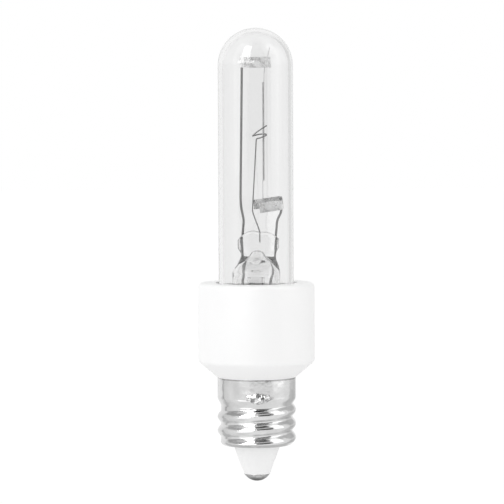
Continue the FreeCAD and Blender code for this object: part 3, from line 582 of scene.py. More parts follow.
def stem_outside():
    """The flare's outside, its shoulder and the press, up to the middle of the press's top.

    Each ring is the oval |x / width|^p + |y / depth|^p = 1, whose power p, width, depth and centre change
    with height, from a circle at the flare to a flat oblong at the press. Over the press's foot the rings
    take on the arches of its top, and the last rings close over it. Small waves stand for the flame's
    work, and the front swells round the blown hole as sqrt(1 - d^2), at d radii from its middle.
    """
    a = np.linspace(0, 2 * np.pi, 144, endpoint=False)[None, :]
    lip = GLASS_FOOT + np.linspace(0, BELL_HEIGHT, 14)
    neck = np.linspace(GLASS_FOOT + 4.4, SHOULDER_Z, 8)
    shoulder = np.linspace(SHOULDER_Z, PRESS_FOOT, 26)[1:]
    level = np.concatenate([lip, neck, shoulder])[:, None]
    rise = np.linspace(0, 1, 30)[1:, None]
    z = np.vstack([level, PRESS_FOOT + rise * (PRESS_TOP - TOP_ROUND - PRESS_FOOT)])
    squeeze = smooth((z - SHOULDER_Z) / (PRESS_FOOT - SHOULDER_Z))
    spread = smooth((z - PRESS_FOOT) / 1.7)
    bell = smooth((z - GLASS_FOOT) / BELL_HEIGHT)
    round_r = BELL_RADIUS + (FLARE_RADIUS - BELL_RADIUS) * bell
    width = round_r + (PRESS_FOOT_HALF_WIDTH - round_r) * squeeze
    width = width + (PRESS_HALF_WIDTH - width) * spread
    depth = round_r + (PRESS_HALF_DEPTH - round_r) * squeeze
    power = 2 / (2 + 0.8 * squeeze)
    centre = PRESS_CENTRE * squeeze
    c, s = np.cos(a), np.sin(a)
    x = centre + width * np.sign(c) * np.abs(c) ** power
    y = depth * np.sign(s) * np.abs(s) ** power
    drop = np.clip((z - PRESS_FOOT) / (PRESS_TOP - PRESS_FOOT), 0, 1)
    zz = z + drop * (press_top(x) - PRESS_TOP)
    worked = smooth((z - SHOULDER_Z + 1.0) / 1.5) * (1 - smooth((z - PRESS_FOOT - 0.6) / 1.2))
    wave = np.sin(3 * a + 1.7 * z) * np.cos(2 * a - 2.3 * z + 1.0)
    x = x * (1 + 0.02 * worked * wave)
    y = y * (1 + 0.03 * worked * wave)
    away = np.hypot(x - BLOWN_X, z - BLOWN_Z) / BLOWN_RADIUS
    swell = np.clip(1 - away**2, 0, 1) ** 0.5
    y = np.where(y < 0, y - BLOWN_SWELL * swell * (1 - 0.6 * (z - BLOWN_Z)), y)
    sides = np.stack([x, y, zz], axis=-1)
    share = np.cos(np.linspace(0, np.pi / 2, 24))[1:, None]
    xt = PRESS_CENTRE + (x[-1:] - PRESS_CENTRE) * share
    yt = y[-1:] * share
    top = np.stack([xt, yt, press_top(xt) - TOP_ROUND * (1 - np.sqrt(1 - share**2))], axis=-1)
    return np.concatenate([sides, top])


def stem_inside():
    """The flare's inside: a dome under the press, pinched from front to back like it, down to the lip.

    The ring at radius r and height z is m + r cos a, k r sin a, z, where k falls from 1 to 0.45 towards the
    press and m goes 0.6 of the way to the press's middle.
    """
    steps = np.linspace(0, 1, 14)
    bell = BELL_RADIUS + (FLARE_RADIUS - BELL_RADIUS) * smooth(steps) - FLARE_WALL
    lip = np.stack([bell, GLASS_FOOT + BELL_HEIGHT * steps], axis=-1)[::-1]
    bore = FLARE_RADIUS - FLARE_WALL
    roof = eased([
        (0, 32.60),
        (0.75, 32.45),
        (1.35, 31.3),
        (1.95, 30.6),
        (2.55, 29.5),
        (bore, 28.4),
        (bore, 24.0),
    ], [0, 0.5, 0.3, 0.3, 0.5, 0.5, 0], steps=10)
    points = turned(np.vstack([roof, lip]), 144)
    pinch = smooth((points[..., 2] - 28.6) / 3.0)
    points[..., 0] += PRESS_CENTRE * pinch * 0.6
    points[..., 1] *= 1 - 0.55 * pinch
    return points


def stem_points():
    """Inside and outside of the stem as one skin, joined at the lip."""
    return np.concatenate([stem_inside(), stem_outside()])


def exhaust_points():
    """The thin tube under the press: outer wall down to its sealed point and inner wall back up."""
    foot, top = TUBE_LOW[2], TUBE_HIGH[2]
    outline = eased([
        (0, foot),
        (0.55, foot + 0.15),
        (EXHAUST_RADIUS, foot + 2.2),
        (EXHAUST_RADIUS, top),
        (EXHAUST_BORE, top),
        (EXHAUST_BORE, foot + 2.4),
        (0, foot + 1.0),
    ], [0, 0.4, 1.2, 0.1, 0.1, 1.2, 0])
    return turned(outline, 48)


class LAMP_OT_stem(bpy.types.Operator):
    """The glass stem with its press, and the exhaust tube under it."""

    bl_idname = "lamp.stem"
    bl_label = "Stem"

    def execute(self, context):
        settings = context.scene.lamp_glass
        material = glass("flame_worked_glass", settings.worked, 0.9, 0.02, (1, 1, 1.5))
        add_piece("pressed_stem", "stem_flare", stem_points(), material)
        thin = glass("thin_drawn_glass", settings.worked, 0.9, 0.01, (1, 1, 4), ior=1.2)
        add_piece("sealed_exhaust", "exhaust_tube", exhaust_points(), thin)
        return {"FINISHED"}


# Wires

def long_lead_line():
    """From the press past a small kink and a slight bow to the upper clip."""
    foot = LONG_SEAL_X - 0.14
    return eased([
        (LONG_SEAL_X, 0, SEAL_TOP + SEAL_GAP),
        (foot + 0.39, 0, PRESS_TOP + 1.45),
        (foot, 0, PRESS_TOP + 3.40),
        (foot - 0.05, 0, (PRESS_TOP + 2 * COIL_FOOT) / 3),
        (LONG_LEAD_X, 0, UPPER_CLIP_Z),
        (-1.87, 0, UPPER_CLIP_Z + 1.1),
    ], [0, 0.35, 0.7, 4.0, 0.3, 0], steps=14)


def lower_clip_turn():
    """The lower clip's tilt forward and rise to the right, as a matrix."""
    return np.array(Matrix.Rotation(math.radians(-8), 3, "Y") @ Matrix.Rotation(math.radians(27), 3, "X"))


def short_lead_line():
    """From the press outwards to an elbow, and square up through the lower clip."""
    through = lower_clip_turn()[:, 2]
    clip = np.array([SHORT_LEAD_X, 0, LOWER_CLIP_Z])
    return eased([
        (SHORT_SEAL_X, 0, SEAL_TOP + SEAL_GAP),
        (2.97, 0, PRESS_TOP + 1.45),
        clip - through * 1.30,
        clip + through * 0.75,
    ], [0, 0.5, 0.7, 0], steps=14)


def beaded(line, radius, bead, reach):
    """Radii along a line that swell to a bead at its start and fall back over a reach."""
    run = np.concatenate([[0], np.cumsum(np.linalg.norm(np.diff(line, axis=0), axis=1))])
    return radius + (bead - radius) * np.exp(-((run / reach) ** 2))


def seal_line(x, lean):
    """A straight run through the press."""
    return np.linspace((x, 0, SEAL_TOP), (x + lean, 0, SEAL_FOOT), 12)


def finer_start(line):
    """The line with eight points in its first run, so that a bead there is round."""
    run = np.linspace(0, 0.9, 8)[:, None]
    return np.vstack([line[0] + (line[1] - line[0]) * run, line[1:]])


def shell_lead_line():
    """From the press down the flare beside the exhaust tube and out to the hole in the skirt."""
    a = math.radians(LEAD_HOLE_ANGLE)
    b = math.radians((LEAD_HOLE_ANGLE - 360) / 3)
    reach = 5.375
    return finer_start(eased([
        (SHORT_SEAL_X - SEAL_LEAN, 0, SEAL_FOOT - SEAL_GAP),
        (FLARE_LEAD_X, 0, FLARE_LEAD_Z),
        (FLARE_LEAD_X * math.cos(b), FLARE_LEAD_X * math.sin(b), SHELL_TOP - 1.3),
        (COLLAR_BORE * math.cos(a), COLLAR_BORE * math.sin(a), LEAD_HOLE_Z),
        (reach * math.cos(a), reach * math.sin(a), LEAD_HOLE_Z),
    ], 9.0, steps=12))


def contact_lead_line():
    """From the press down the flare, past the exhaust's tip and into the eyelet."""
    return finer_start(eased([
        (LONG_SEAL_X + SEAL_LEAN, 0, SEAL_FOOT - SEAL_GAP),
        (-FLARE_LEAD_X, 0, FLARE_LEAD_Z),
        (-FLARE_LEAD_X, 0, SHELL_TOP),
        (0, 0, SHELL_FOOT),
        (0, 0, 0.69),
    ], 9.0, steps=12))


def support_line():
    """From the press to the left of the filament, up beside it and once and a half round it."""
    loop = COIL_TOP - 8.05
    ring = COIL_RADIUS + 0.14
    left, right = COIL_X - 1.50, COIL_X + 0.42
    front, back = COIL_Y - 1.3 * ring, COIL_Y + 1.3 * ring
    return eased([
        (SUPPORT_X, 0, PRESS_TOP - 1.60),
        (0.52, 0, PRESS_TOP - 0.10),
        (-0.49, 0, PRESS_TOP + 2.65),
        (COIL_X - 1.00, front, loop + 0.02),
        (COIL_X - 0.50, front, loop + 0.12),
        (right, front, loop + 0.50),
        (right, back, loop + 0.68),
        (COIL_X - 0.60, back, loop + 0.66),
        (left, back, loop + 0.40),
        (left, front, loop + 0.42),
        (COIL_X - 1.00, front, loop + 0.90),
        (COIL_X - 0.44, front, loop + 1.28),
        (COIL_X + 0.45, front, loop + 1.85),
    ], [0, 0.05, 0.4, 0.12, 0.3, 0.3, 0.3, 0.4, 0.3, 0.12, 0.4, 0.4, 0], steps=10)


def filament_line(settings):
    """Lower tail, coil and upper tail as one line.

    The coil is r cos a, r sin a, pitch a / 2 pi, in a whole number of turns and a half.
    """
    radius = COIL_RADIUS - settings.coil_wire / MM
    length = COIL_TOP - COIL_FOOT - 2 * COIL_RADIUS
    turns = round(length / (settings.coil_pitch / MM)) + 0.5
    a = np.linspace(0, 2 * np.pi * turns, int(turns * 16))
    z = COIL_FOOT + COIL_RADIUS + length * a / a[-1]
    coil = np.stack([COIL_X - radius * np.cos(a), COIL_Y - radius * np.sin(a), z], axis=-1)
    low = np.linspace(
        (COIL_X - TAIL_ASIDE, COIL_Y, FILAMENT_FOOT),
        (COIL_X - radius, COIL_Y, COIL_FOOT + 0.10),
        4,
    )
    top_x = COIL_X + TAIL_ASIDE
    high = eased([
        (COIL_X + radius, COIL_Y, COIL_TOP - 0.10),
        (top_x, COIL_Y, UPPER_CLIP_Z - 0.34),
        (top_x + 0.50, COIL_Y, UPPER_CLIP_Z + 1.50),
        (top_x + 0.80, COIL_Y, UPPER_CLIP_Z + 2.80),
    ], 9.0)
    return np.vstack([low, coil, high])


class LAMP_OT_leads(bpy.types.Operator):
    """The two leads, the wires sealed in the press and the two leads under it."""

    bl_idname = "lamp.leads"
    bl_label = "Leads"

    def execute(self, context):
        settings = context.scene.lamp_wires
        drawn = metal("drawn_nickel", settings.nickel, stretch=(1, 1, 6))
        sealed = metal("sealed_wire", (0.30, 0.30, 0.30), roughness=(0.35, 0.6))
        tinned = metal(
            "tinned_wire", darker(settings.nickel, 1.6), stretch=(1, 1, 4), roughness=(0.3, 0.55),
        )
        lead = settings.lead_radius / MM
        add_piece("tall_lead", "long_inner_lead", wire(long_lead_line(), lead), drawn)
        add_piece("low_lead", "short_inner_lead", wire(short_lead_line(), lead), drawn)
        seal = settings.seal_radius / MM
        left = wire(seal_line(LONG_SEAL_X, SEAL_LEAN), seal)
        add_piece("left_seal", "long_seal_wire", left, sealed)
        right = wire(seal_line(SHORT_SEAL_X, -SEAL_LEAN), seal)
        add_piece("right_seal", "short_seal_wire", right, sealed)
        outer = settings.outer_radius / MM
        line = shell_lead_line()
        to_skirt = wire(line, beaded(line, outer, BEAD_RADIUS, BEAD_REACH), (0.6, 1, 0.2))
        add_piece("skirt_lead", "shell_lead", to_skirt, tinned)
        line = contact_lead_line()
        to_tip = wire(line, beaded(line, outer, BEAD_RADIUS, BEAD_REACH))
        add_piece("tip_lead", "contact_lead", to_tip, tinned)
        return {"FINISHED"}


class LAMP_OT_filament(bpy.types.Operator):
    """The coiled filament with its tails, and the wire that holds its middle."""

    bl_idname = "lamp.filament"
    bl_label = "Filament"

    def execute(self, context):
        settings = context.scene.lamp_wires
        coil = metal("tungsten_coil", settings.tungsten, roughness=(0.35, 0.55), per_mm=0.8, grain=14.0)
        rod = metal("molybdenum_wire", settings.support, roughness=(0.3, 0.5), stretch=(1, 1, 5))
        aside = (1, 1, -1.2)
        wound = wire(filament_line(settings), settings.coil_wire / MM, aside, sides=8)
        add_piece("wound_filament", "filament", wound, coil)
        support = wire(support_line(), settings.support_radius / MM, aside, sides=12)
        add_piece("pigtail_support", "filament_support", support, rod)
        return {"FINISHED"}


def upper_clip_points(settings):
    """Ribbon that hooks round the tall lead, crosses behind it and folds back over the upper tail.

    The front flap's free edge slants, because the flap is longer at its top than at its foot.
    """
    back = LEAD_TO_SHEET
    left = LONG_LEAD_X - back
    right = left + UPPER_CLIP_WIDTH
    fold = back - 0.23
    line = eased([
        (left + 0.55, -back, UPPER_CLIP_Z),
        (left, -back, UPPER_CLIP_Z),
        (left, back, UPPER_CLIP_Z),
        (right, back, UPPER_CLIP_Z),
        (right, fold, UPPER_CLIP_Z),
        (right - FLAP_TOP, fold, UPPER_CLIP_Z),
    ], 0.12, steps=7)
    points = strip(line, settings.ribbon / MM, RIBBON_HEIGHT, 0.0)
    rise = (points[..., 2] - UPPER_CLIP_Z) / RIBBON_HEIGHT
    length = FLAP_FOOT + (FLAP_TOP - FLAP_FOOT) * rise
    front = (points[..., 1] < back - 0.12) & (points[..., 0] > 0)
    x = points[..., 0]
    points[..., 0] = np.where(front, right - (right - x) * length / FLAP_TOP, x)
    return points


def lower_clip_points(settings):
    """Ribbon that turns back round the low lead, tilted forward and rising to the right."""
    right = LEAD_TO_SHEET
    line = eased([
        (right - 4.05, LOWER_CLIP_HALF_GAP, 0),
        (right, LOWER_CLIP_HALF_GAP, 0),
        (right, -LOWER_CLIP_HALF_GAP, 0),
        (right - 3.30, -LOWER_CLIP_HALF_GAP, 0),
    ], 0.45)
    points = strip(line, settings.ribbon / MM, RIBBON_HEIGHT, -RIBBON_HEIGHT / 2)
    return points @ lower_clip_turn().T + np.array([SHORT_LEAD_X, 0, LOWER_CLIP_Z])


class LAMP_OT_clips(bpy.types.Operator):
    """The two ribbon clips that hold the ends of the filament."""

    bl_idname = "lamp.clips"
    bl_label = "Clips"

    def execute(self, context):
        settings = context.scene.lamp_wires
        sheet = metal("rolled_ribbon", settings.sheet, low_share=0.5, roughness=(0.2, 0.42), bump=0.012)
        add_piece("hooked_clip", "upper_filament_clip", upper_clip_points(settings), sheet)
        add_piece("folded_clip", "lower_filament_clip", lower_clip_points(settings), sheet)
        return {"FINISHED"}


# Collar

def collar_points():
    """The collar's ring: spigot, sloping foot, wall, eased rim and the recess for the glass."""
    radius = COLLAR_HIGH[0]
    top = COLLAR_HIGH[2]
    foot = COLLAR_LOW[2]
    outline = eased([
        (COLLAR_BORE, foot),
        (SPIGOT_RADIUS, foot),
        (SPIGOT_RADIUS, SHELL_TOP),
        (5.50, SHELL_TOP),
        (radius, SHELL_TOP + 2.25),
        (radius, top),
        (RECESS_RADIUS, top),
        (RECESS_RADIUS, RECESS_FLOOR),
        (COLLAR_BORE, RECESS_FLOOR),
    ], [0.1, 0.1, 0.02, 0.06, 0.35, 0.75, 0.2, 0.2, 0.1], closed=True)
    return turned(outline, 192)


def cement_points():
    """The cement's ring: a bed under the glass and a sleeve round it, whose top is a little uneven."""
    low, top = CEMENT_LOW[2], CEMENT_HIGH[2]
    bore, sleeve, outside = 4.05, 5.26, 5.64
    outline = eased([
        (bore, low),
        (outside, low),
        (outside, top),
        (sleeve, top - 0.05),
        (sleeve, GLASS_FOOT),
        (bore, GLASS_FOOT),
    ], [0.05, 0.05, 0.1, 0.1, 0.02, 0.1], closed=True)
    points = turned(outline, 160)
    a = np.arctan2(points[..., 1], points[..., 0])
    sag = 0.10 + 0.06 * np.sin(5 * a + 1.0) * np.sin(2 * a) + 0.03 * np.sin(13 * a)
    points[..., 2] -= np.where(points[..., 2] > top - 0.3, sag, 0)
    return points


class LAMP_OT_collar(bpy.types.Operator):
    """The white ceramic collar and the cement that holds the glass in it."""

    bl_idname = "lamp.collar"
    bl_label = "Collar"

    def execute(self, context):
        settings = context.scene.lamp_base
        white = fired("white_ceramic_body", settings.ceramic, (0.30, 0.42))
        cement = fired(
            "basing_cement_body", (0.86, 0.85, 0.83), (0.7, 0.9), specks=0.8, per_mm=4.0, bump=0.05,
        )
        add_piece("white_collar", "ceramic_collar", collar_points(), white, closed_rows=True)
        add_piece("cement_ring", "basing_cement", cement_points(), cement, closed_rows=True)
        return {"FINISHED"}


# Screw shell

def thread_height(settings, degrees, z):
    """Height of the rolled thread over its root at an angle and a height.

    It is depth (v + sqrt(v^2 + e^2)) / 2.005 with v = (cos pi u - s) / (1 - s), where u is the distance to
    the nearest crest in pitches. The cut s keeps the crest narrow, e rounds the root's corners and 2.005
    gives the crest the full depth. The thread fades in and out at its two ends.
    """
    pitch = settings.thread_pitch / MM
    turns = (z - CREST_Z) / pitch - degrees / 360
    whole = np.round(turns)
    angle = degrees + 360 * whole
    fade_in = smooth((angle - THREAD_START) / THREAD_FADE_IN)
    fade_out = smooth((THREAD_END - angle) / THREAD_FADE_OUT)
    v = (np.cos(np.pi * (turns - whole)) - CREST_CUT) / (1 - CREST_CUT)
    wave = (v + np.sqrt(v * v + ROOT_ROUND**2)) / 2.005
    return settings.thread_depth / MM * wave * fade_in * fade_out


def shell_points(settings):
    """The rolled shell: outside from its top to the floor's hole, and inside back up, a sheet further in.

    The wall's radius is the root's, plus the thread's height at that angle and height or the skirt's step
    if that is more. The skirt's left side has a soft dent on its outside, which ends at a crease.
    """
    sheet = settings.sheet / MM
    depth = settings.thread_depth / MM
    root = SHELL_RADIUS - depth
    wall_z = np.linspace(SHELL_TOP - 0.01, SHELL_FOOT + 0.42, 190)
    corner = circle_points(SHELL_FOOT + SHELL_CORNER, SHELL_CORNER, 0, -90, 9)[1:]
    inner_corner = circle_points(SHELL_FOOT + SHELL_CORNER, 0.15, -90, 0, 6)[:-1]
    centre = root - SHELL_CORNER
    outside = np.vstack([
        [(root - 0.003, SHELL_TOP), (root, SHELL_TOP - 0.003)],
        np.stack([np.full_like(wall_z, root), wall_z], axis=-1),
        corner + (centre, 0),
    ])
    floor = np.array([
        (FLOOR_HOLE + 0.05, SHELL_FOOT),
        (FLOOR_HOLE, SHELL_FOOT + 0.05),
        (FLOOR_HOLE, SHELL_FOOT + sheet - 0.03),
        (FLOOR_HOLE + 0.04, SHELL_FOOT + sheet),
    ])
    inside = np.vstack([
        inner_corner + (centre, 0),
        np.stack([np.full_like(wall_z[::2], root - sheet), wall_z[::-2]], axis=-1),
        [(root - sheet + 0.04, SHELL_TOP)],
    ])
    outline = np.vstack([outside, floor, inside])
    a = np.linspace(0, 360, 220, endpoint=False)[None, :]
    r, z = outline[:, :1], outline[:, 1:]
    in_wall = smooth((z - SHELL_FOOT - 0.05) / 0.5) * (r > 4)
    step = depth * smooth((z - SKIRT_FOOT) / SKIRT_RISE)
    lift = np.maximum(thread_height(settings, a, z), step)
    on_outside = np.arange(len(outline))[:, None] < len(outside)
    crease = smooth((208 + 1.2 * np.sin(4.1 * z) - a) / 2.5) * smooth((a - 176) / 8)
    dent = 0.14 * crease * smooth((z - 11.9) / 0.6) * smooth((14.75 - z) / 0.25)
    radius = r + in_wall * lift - on_outside * dent
    a = np.radians(a)
    return np.stack([radius * np.cos(a), radius * np.sin(a), np.broadcast_to(z, radius.shape)], axis=-1)


def plated(name, tone):
    """Bright plate on rolled sheet: fine marks round the shell, soft dents, clouds, painted shade on its
    top.
    """
    material, tree = new_material(name)
    marks = pattern(tree, 5.0, detail=4.0, stretch=(14, 14, 1))
    cloud = pattern(tree, 0.45, detail=4.0)
    dents = pattern(tree, 0.6, detail=2.0)
    cloudy = ramp(tree, cloud, 0.3, 0.75, 0.10, 0.20)
    rough = math_node(tree, "ADD", cloudy, ramp(tree, marks, 0.35, 0.8, 0.0, 0.08))
    height = math_node(tree, "MULTIPLY_ADD", marks, 0.05, math_node(tree, "MULTIPLY", dents, 0.95))
    place = add(tree, "ShaderNodeTexCoord")
    up = add(tree, "ShaderNodeSeparateXYZ", {0: place.outputs["Object"]}).outputs[2]
    # Painted shade: the plate darkens to 0.55 of its tone over the top 0.26 mm, for the shadow under the
    # collar
    free_of_painted_shade = ramp(tree, up, (SHELL_TOP - 0.26) * MM, (SHELL_TOP - 0.06) * MM, 1, 0)
    share = math_node(tree, "MULTIPLY", free_of_painted_shade, ramp(tree, cloud, 0.3, 0.7, 0.7, 1))
    body = add(tree, "ShaderNodeBsdfPrincipled", {
        "Base Color": shades(tree, share, darker(tone, 0.55), tone),
        "Roughness": rough,
        "Metallic": 1.0,
        "Normal": bumped(tree, height, 0.06),
    })
    finish(tree, body.outputs[0])
    return material


class LAMP_OT_shell(bpy.types.Operator):
    """The screw shell, rolled from plated sheet with a true right-hand thread."""

    bl_idname = "lamp.shell"
    bl_label = "Screw shell"

    def execute(self, context):
        settings = context.scene.lamp_base
        plate = plated("bright_plate", settings.plate)
        add_piece("rolled_shell", "screw_shell", shell_points(settings), plate, closed_rows=True)
        return {"FINISHED"}


# Tip and solder

def cone_points():
    """The cone's ring, with its flange inside the shell and the pocket over the eyelet."""
    bore, pocket, tip, neck, rim = 0.71, 1.80, 1.83, 3.33, 4.08
    flange = SHELL_FOOT + 0.25
    outline = eased([
        (bore, CONE_FOOT),
        (tip, CONE_FOOT),
        (neck, SHELL_FOOT),
        (neck, flange),
        (rim, flange),
        (rim, flange + 1.2),
        (pocket, flange + 1.2),
        (pocket, CONE_FOOT + 1.60),
        (bore, CONE_FOOT + 1.60),
    ], [0.03, 0.10, 0.03, 0.03, 0.1, 0.1, 0.1, 0.1, 0.03], closed=True)
    return turned(outline, 128)


def ball_z(radius, r):
    """Height at r of a ball of a radius, whose middle is that of the contact's dome."""
    return CONTACT_BALL - np.sqrt(radius**2 - r**2)


def contact_points():
    """The domed eyelet: cap, rim, inside of the cap, barrel and turned lip."""
    r = np.linspace(0.55, 1.80, 16)
    cap = np.stack([r, ball_z(CONTACT_BALL, r)], axis=-1)
    q = np.linspace(1.50, 0.75, 8)
    under = np.stack([q, ball_z(CONTACT_BALL - CONTACT_SHEET, q)], axis=-1)
    barrel = eased([
        (0.70, 0.45), (0.70, 2.63), (1.05, 2.63), (1.05, 2.78), (0.55, 2.78), (0.55, 0.3),
    ], 0.05, steps=4)
    rim = np.array([(1.83, 1.02), (1.80, 1.03), (1.56, 1.03)])
    return turned(np.vstack([cap, rim, under, barrel[:-1]]), 96)


def plug_points():
    """The plug of solder in the eyelet, from its uneven dome to its flat top."""
    edge = 0.53
    r = np.linspace(0, edge, 10)
    dome = np.stack([r, ball_z(CONTACT_BALL, r) + 0.01 * (r / edge) ** 4], axis=-1)
    top = eased([(0.54, 0.15), (0.54, 0.66), (0, 0.67)], 0.05)
    return turned(np.vstack([dome, top]), 48)


def skirt_solder_points():
    """Solder over the lead's hole: a blob with a few rounded lumps and small waves.

    A point at share q of the way out from the middle stands rise (1 - q^2)^0.4 h over the skirt. Here h is
    0.42, plus swell exp(-d^2 / reach^2) for each lump at the distance d from its middle, plus a ripple, and
    is kept between 0.25 and 1.02. The foot goes back on the skirt.
    """
    b = np.linspace(0, 2 * np.pi, 96, endpoint=False)[None, :]
    q = np.sin(np.linspace(0, np.pi / 2, 26))[:, None]
    edge = 1 + 0.07 * np.sin(3 * b + 0.6) + 0.05 * np.sin(7 * b + 2.0) + 0.03 * np.sin(11 * b)
    across = SOLDER_HALF_WIDTH * edge * q * np.cos(b)
    up = SOLDER_HALF_HEIGHT * edge * q * np.sin(b) * (1 + 0.10 * np.cos(across * 2.8))
    lumps = np.full_like(across, 0.42)
    for x, z, reach, swell in SOLDER_LUMPS:
        lumps = lumps + swell * np.exp(-((across - x) ** 2 + (up - z) ** 2) / reach**2)
    ripple = 0.05 * np.sin(13 * across - 4 * up) * np.sin(11 * up + 5 * across)
    height = SOLDER_RISE * np.clip(1 - q**2, 0, 1) ** 0.4 * np.clip(lumps + ripple, 0.25, 1.02)
    base = SHELL_RADIUS + 0.004
    front = np.stack([across, up, base + height], axis=-1)
    foot = np.stack([across[::-1], up[::-1], np.full_like(across, base)], axis=-1)
    points = np.concatenate([front, foot[1:]])
    a = math.radians(LEAD_HOLE_ANGLE) + points[..., 0] / SHELL_RADIUS
    r = points[..., 2]
    return np.stack([r * np.cos(a), r * np.sin(a), LEAD_HOLE_Z + points[..., 1]], axis=-1)


class LAMP_OT_tip(bpy.types.Operator):
    """The white cone of the tip and its domed contact."""

    bl_idname = "lamp.tip"
    bl_label = "Tip"

    def execute(self, context):
        settings = context.scene.lamp_base
        white = fired("white_tip_body", settings.insulator, (0.34, 0.48))
        # Painted shade darkens the contact towards its bottom
        cap = metal(
            "contact_plate", (0.60, 0.60, 0.60), roughness=(0.14, 0.28), per_mm=1.5, bump=0.006,
            painted_shade=PAINTED_SHADE_SPAN,
        )
        add_piece("tip_cone", "tip_insulator", cone_points(), white, closed_rows=True)
        add_piece("contact_cap", "centre_contact", contact_points(), cap, closed_rows=True)
        return {"FINISHED"}


class LAMP_OT_solder(bpy.types.Operator):
    """The solder on the skirt and in the tip."""

    bl_idname = "lamp.solder"
    bl_label = "Solder"

    def execute(self, context):
        settings = context.scene.lamp_base
        # Painted shade darkens the tip's solder towards its bottom; the skirt's solder sits above its span
        bright = metal(
            "bright_solder", settings.solder, low_share=0.25, roughness=(0.08, 0.22), per_mm=2.0,
            bump=0.045, painted_shade=PAINTED_SHADE_SPAN,
        )
        add_piece("skirt_solder", "shell_solder", skirt_solder_points(), bright)
        add_piece("tip_solder", "contact_solder", plug_points(), bright)
        return {"FINISHED"}


# Studio

def blend(tree, share, level, other):
    """A level carried to another one by a share."""
    rest = math_node(tree, "MULTIPLY", level, math_node(tree, "SUBTRACT", 1.0, share))
    return math_node(tree, "MULTIPLY_ADD", share, other, rest)


def patch(tree, level, target, turn, tilt, turn_span, tilt_span, soft=4.0):
    """A level changed to a target inside a span of turn and one of tilt, in degrees, with soft edges."""
    inside = None
    for angle, (low, high) in ((turn, turn_span), (tilt, tilt_span)):
        for edge, side in ((low, 1), (high, -1)):
            share = ramp(tree, angle, edge - soft, edge + soft, 0.5 - 0.5 * side, 0.5 + 0.5 * side)
            inside = share if inside is None else math_node(tree, "MULTIPLY", inside, share)
    return blend(tree, inside, level, target)


def studio_world(settings):
    """Soft pale studio round the object, a white backdrop behind it and plain white for the camera.

    Turn is the angle from the camera's side towards the right, back the angle from the far side towards
    the right, and tilt the angle over the horizon.
    """
    world = bpy.data.worlds.new("studio")
    world.use_nodes = True
    tree = world.node_tree
    tree.nodes.clear()
    place = add(tree, "ShaderNodeTexCoord")
    axes = add(tree, "ShaderNodeSeparateXYZ", {0: place.outputs["Generated"]})
    x, y, z = axes.outputs
    degrees = 180 / math.pi
    towards = math_node(tree, "MULTIPLY", y, -1.0)
    turn = math_node(tree, "MULTIPLY", math_node(tree, "ARCTAN2", x, towards), degrees)
    back = math_node(tree, "MULTIPLY", math_node(tree, "ARCTAN2", x, y), degrees)
    tilt = math_node(tree, "MULTIPLY", math_node(tree, "ARCSINE", z), degrees)
    path = add(tree, "ShaderNodeLightPath")

    # Light that falls on the object and comes through it
    level = ramp(tree, tilt, 10.0, 22.0, 0.94, 0.60)
    level = math_node(tree, "ADD", level, ramp(tree, tilt, 50.0, 70.0, 0.0, 0.30))
    level = patch(tree, level, 0.86, turn, tilt, (-135, -52), (-90, 12))
    level = patch(tree, level, 0.90, turn, tilt, (84, 112), (-60, 40))
    level = patch(tree, level, 0.74, back, tilt, (24, 68), (-60, 90))
    level = patch(tree, level, 0.80, back, tilt, (-90, -50), (-60, 90))
    level = patch(tree, level, 0.92, back, tilt, (-50, 26), (-90, 60))

    # Dark and bright cards that plate, solder and the glass's outside mirror
    mirror = patch(tree, level, 0.05, turn, tilt, (-20, 48), (-2.5, 26), 1.2)
    mirror = patch(tree, mirror, 0.10, turn, tilt, (-18, 47), (47, 75), 3.0)
    mirror = patch(tree, mirror, 1.60, turn, tilt, (-60, -14), (-32, -12), 2.0)
    mirror = patch(tree, mirror, 1.60, turn, tilt, (50, 88), (-2, 60))
    mirror = patch(tree, mirror, 0.42, turn, tilt, (-130, -54), (28, 52))
    mirror = patch(tree, mirror, 0.34, turn, tilt, (-121, -115), (-30, 8), 1.5)
    mirror = patch(tree, mirror, 0.60, back, tilt, (24, 68), (-40, -5), 1.0)
    mirror = patch(tree, mirror, 0.55, back, tilt, (24, 68), (10, 60))
    mirror = patch(tree, mirror, 0.60, back, tilt, (-60, 60), (-80, -28))
    mirror = patch(tree, mirror, 6.0, turn, tilt, (-55, -2), (6, 14), 2.0)
    mirror = patch(tree, mirror, 6.0, turn, tilt, (-48, -16), (13, 60), 2.5)
    outside = math_node(tree, "LESS_THAN", path.outputs["Transmission Depth"], 0.5)
    glossy = math_node(tree, "MULTIPLY", path.outputs["Is Glossy Ray"], outside)
    level = blend(tree, glossy, level, mirror)

    # White backdrop behind the glass, which falls off upwards and downwards
    bent = path.outputs["Is Transmission Ray"]
    through = math_node(tree, "MULTIPLY", bent, ramp(tree, back, -60, -45, 0, 1))
    through = math_node(tree, "MULTIPLY", through, ramp(tree, back, 22, 30, 1, 0))
    steep = ramp(tree, math_node(tree, "ABSOLUTE", tilt), 34.0, 56.0, 1.0, 0.66)
    bright = ramp(tree, tilt, -1.0, 6.0, settings.backdrop - 0.05, settings.backdrop)
    level = blend(tree, through, level, math_node(tree, "MULTIPLY", steep, bright))

    # A little darker straight behind the lamp, and plain white for the camera
    level = patch(tree, level, settings.backdrop - 0.09, back, tilt, (-3.5, 4.5), (-12, 4), 1.5)
    level = math_node(tree, "MAXIMUM", level, path.outputs["Is Camera Ray"])
    light = add(tree, "ShaderNodeBackground", {"Color": (1, 1, 1, 1), "Strength": level})
    output = add(tree, "ShaderNodeOutputWorld")
    tree.links.new(light.outputs[0], output.inputs[0])
    bpy.context.scene.world = world


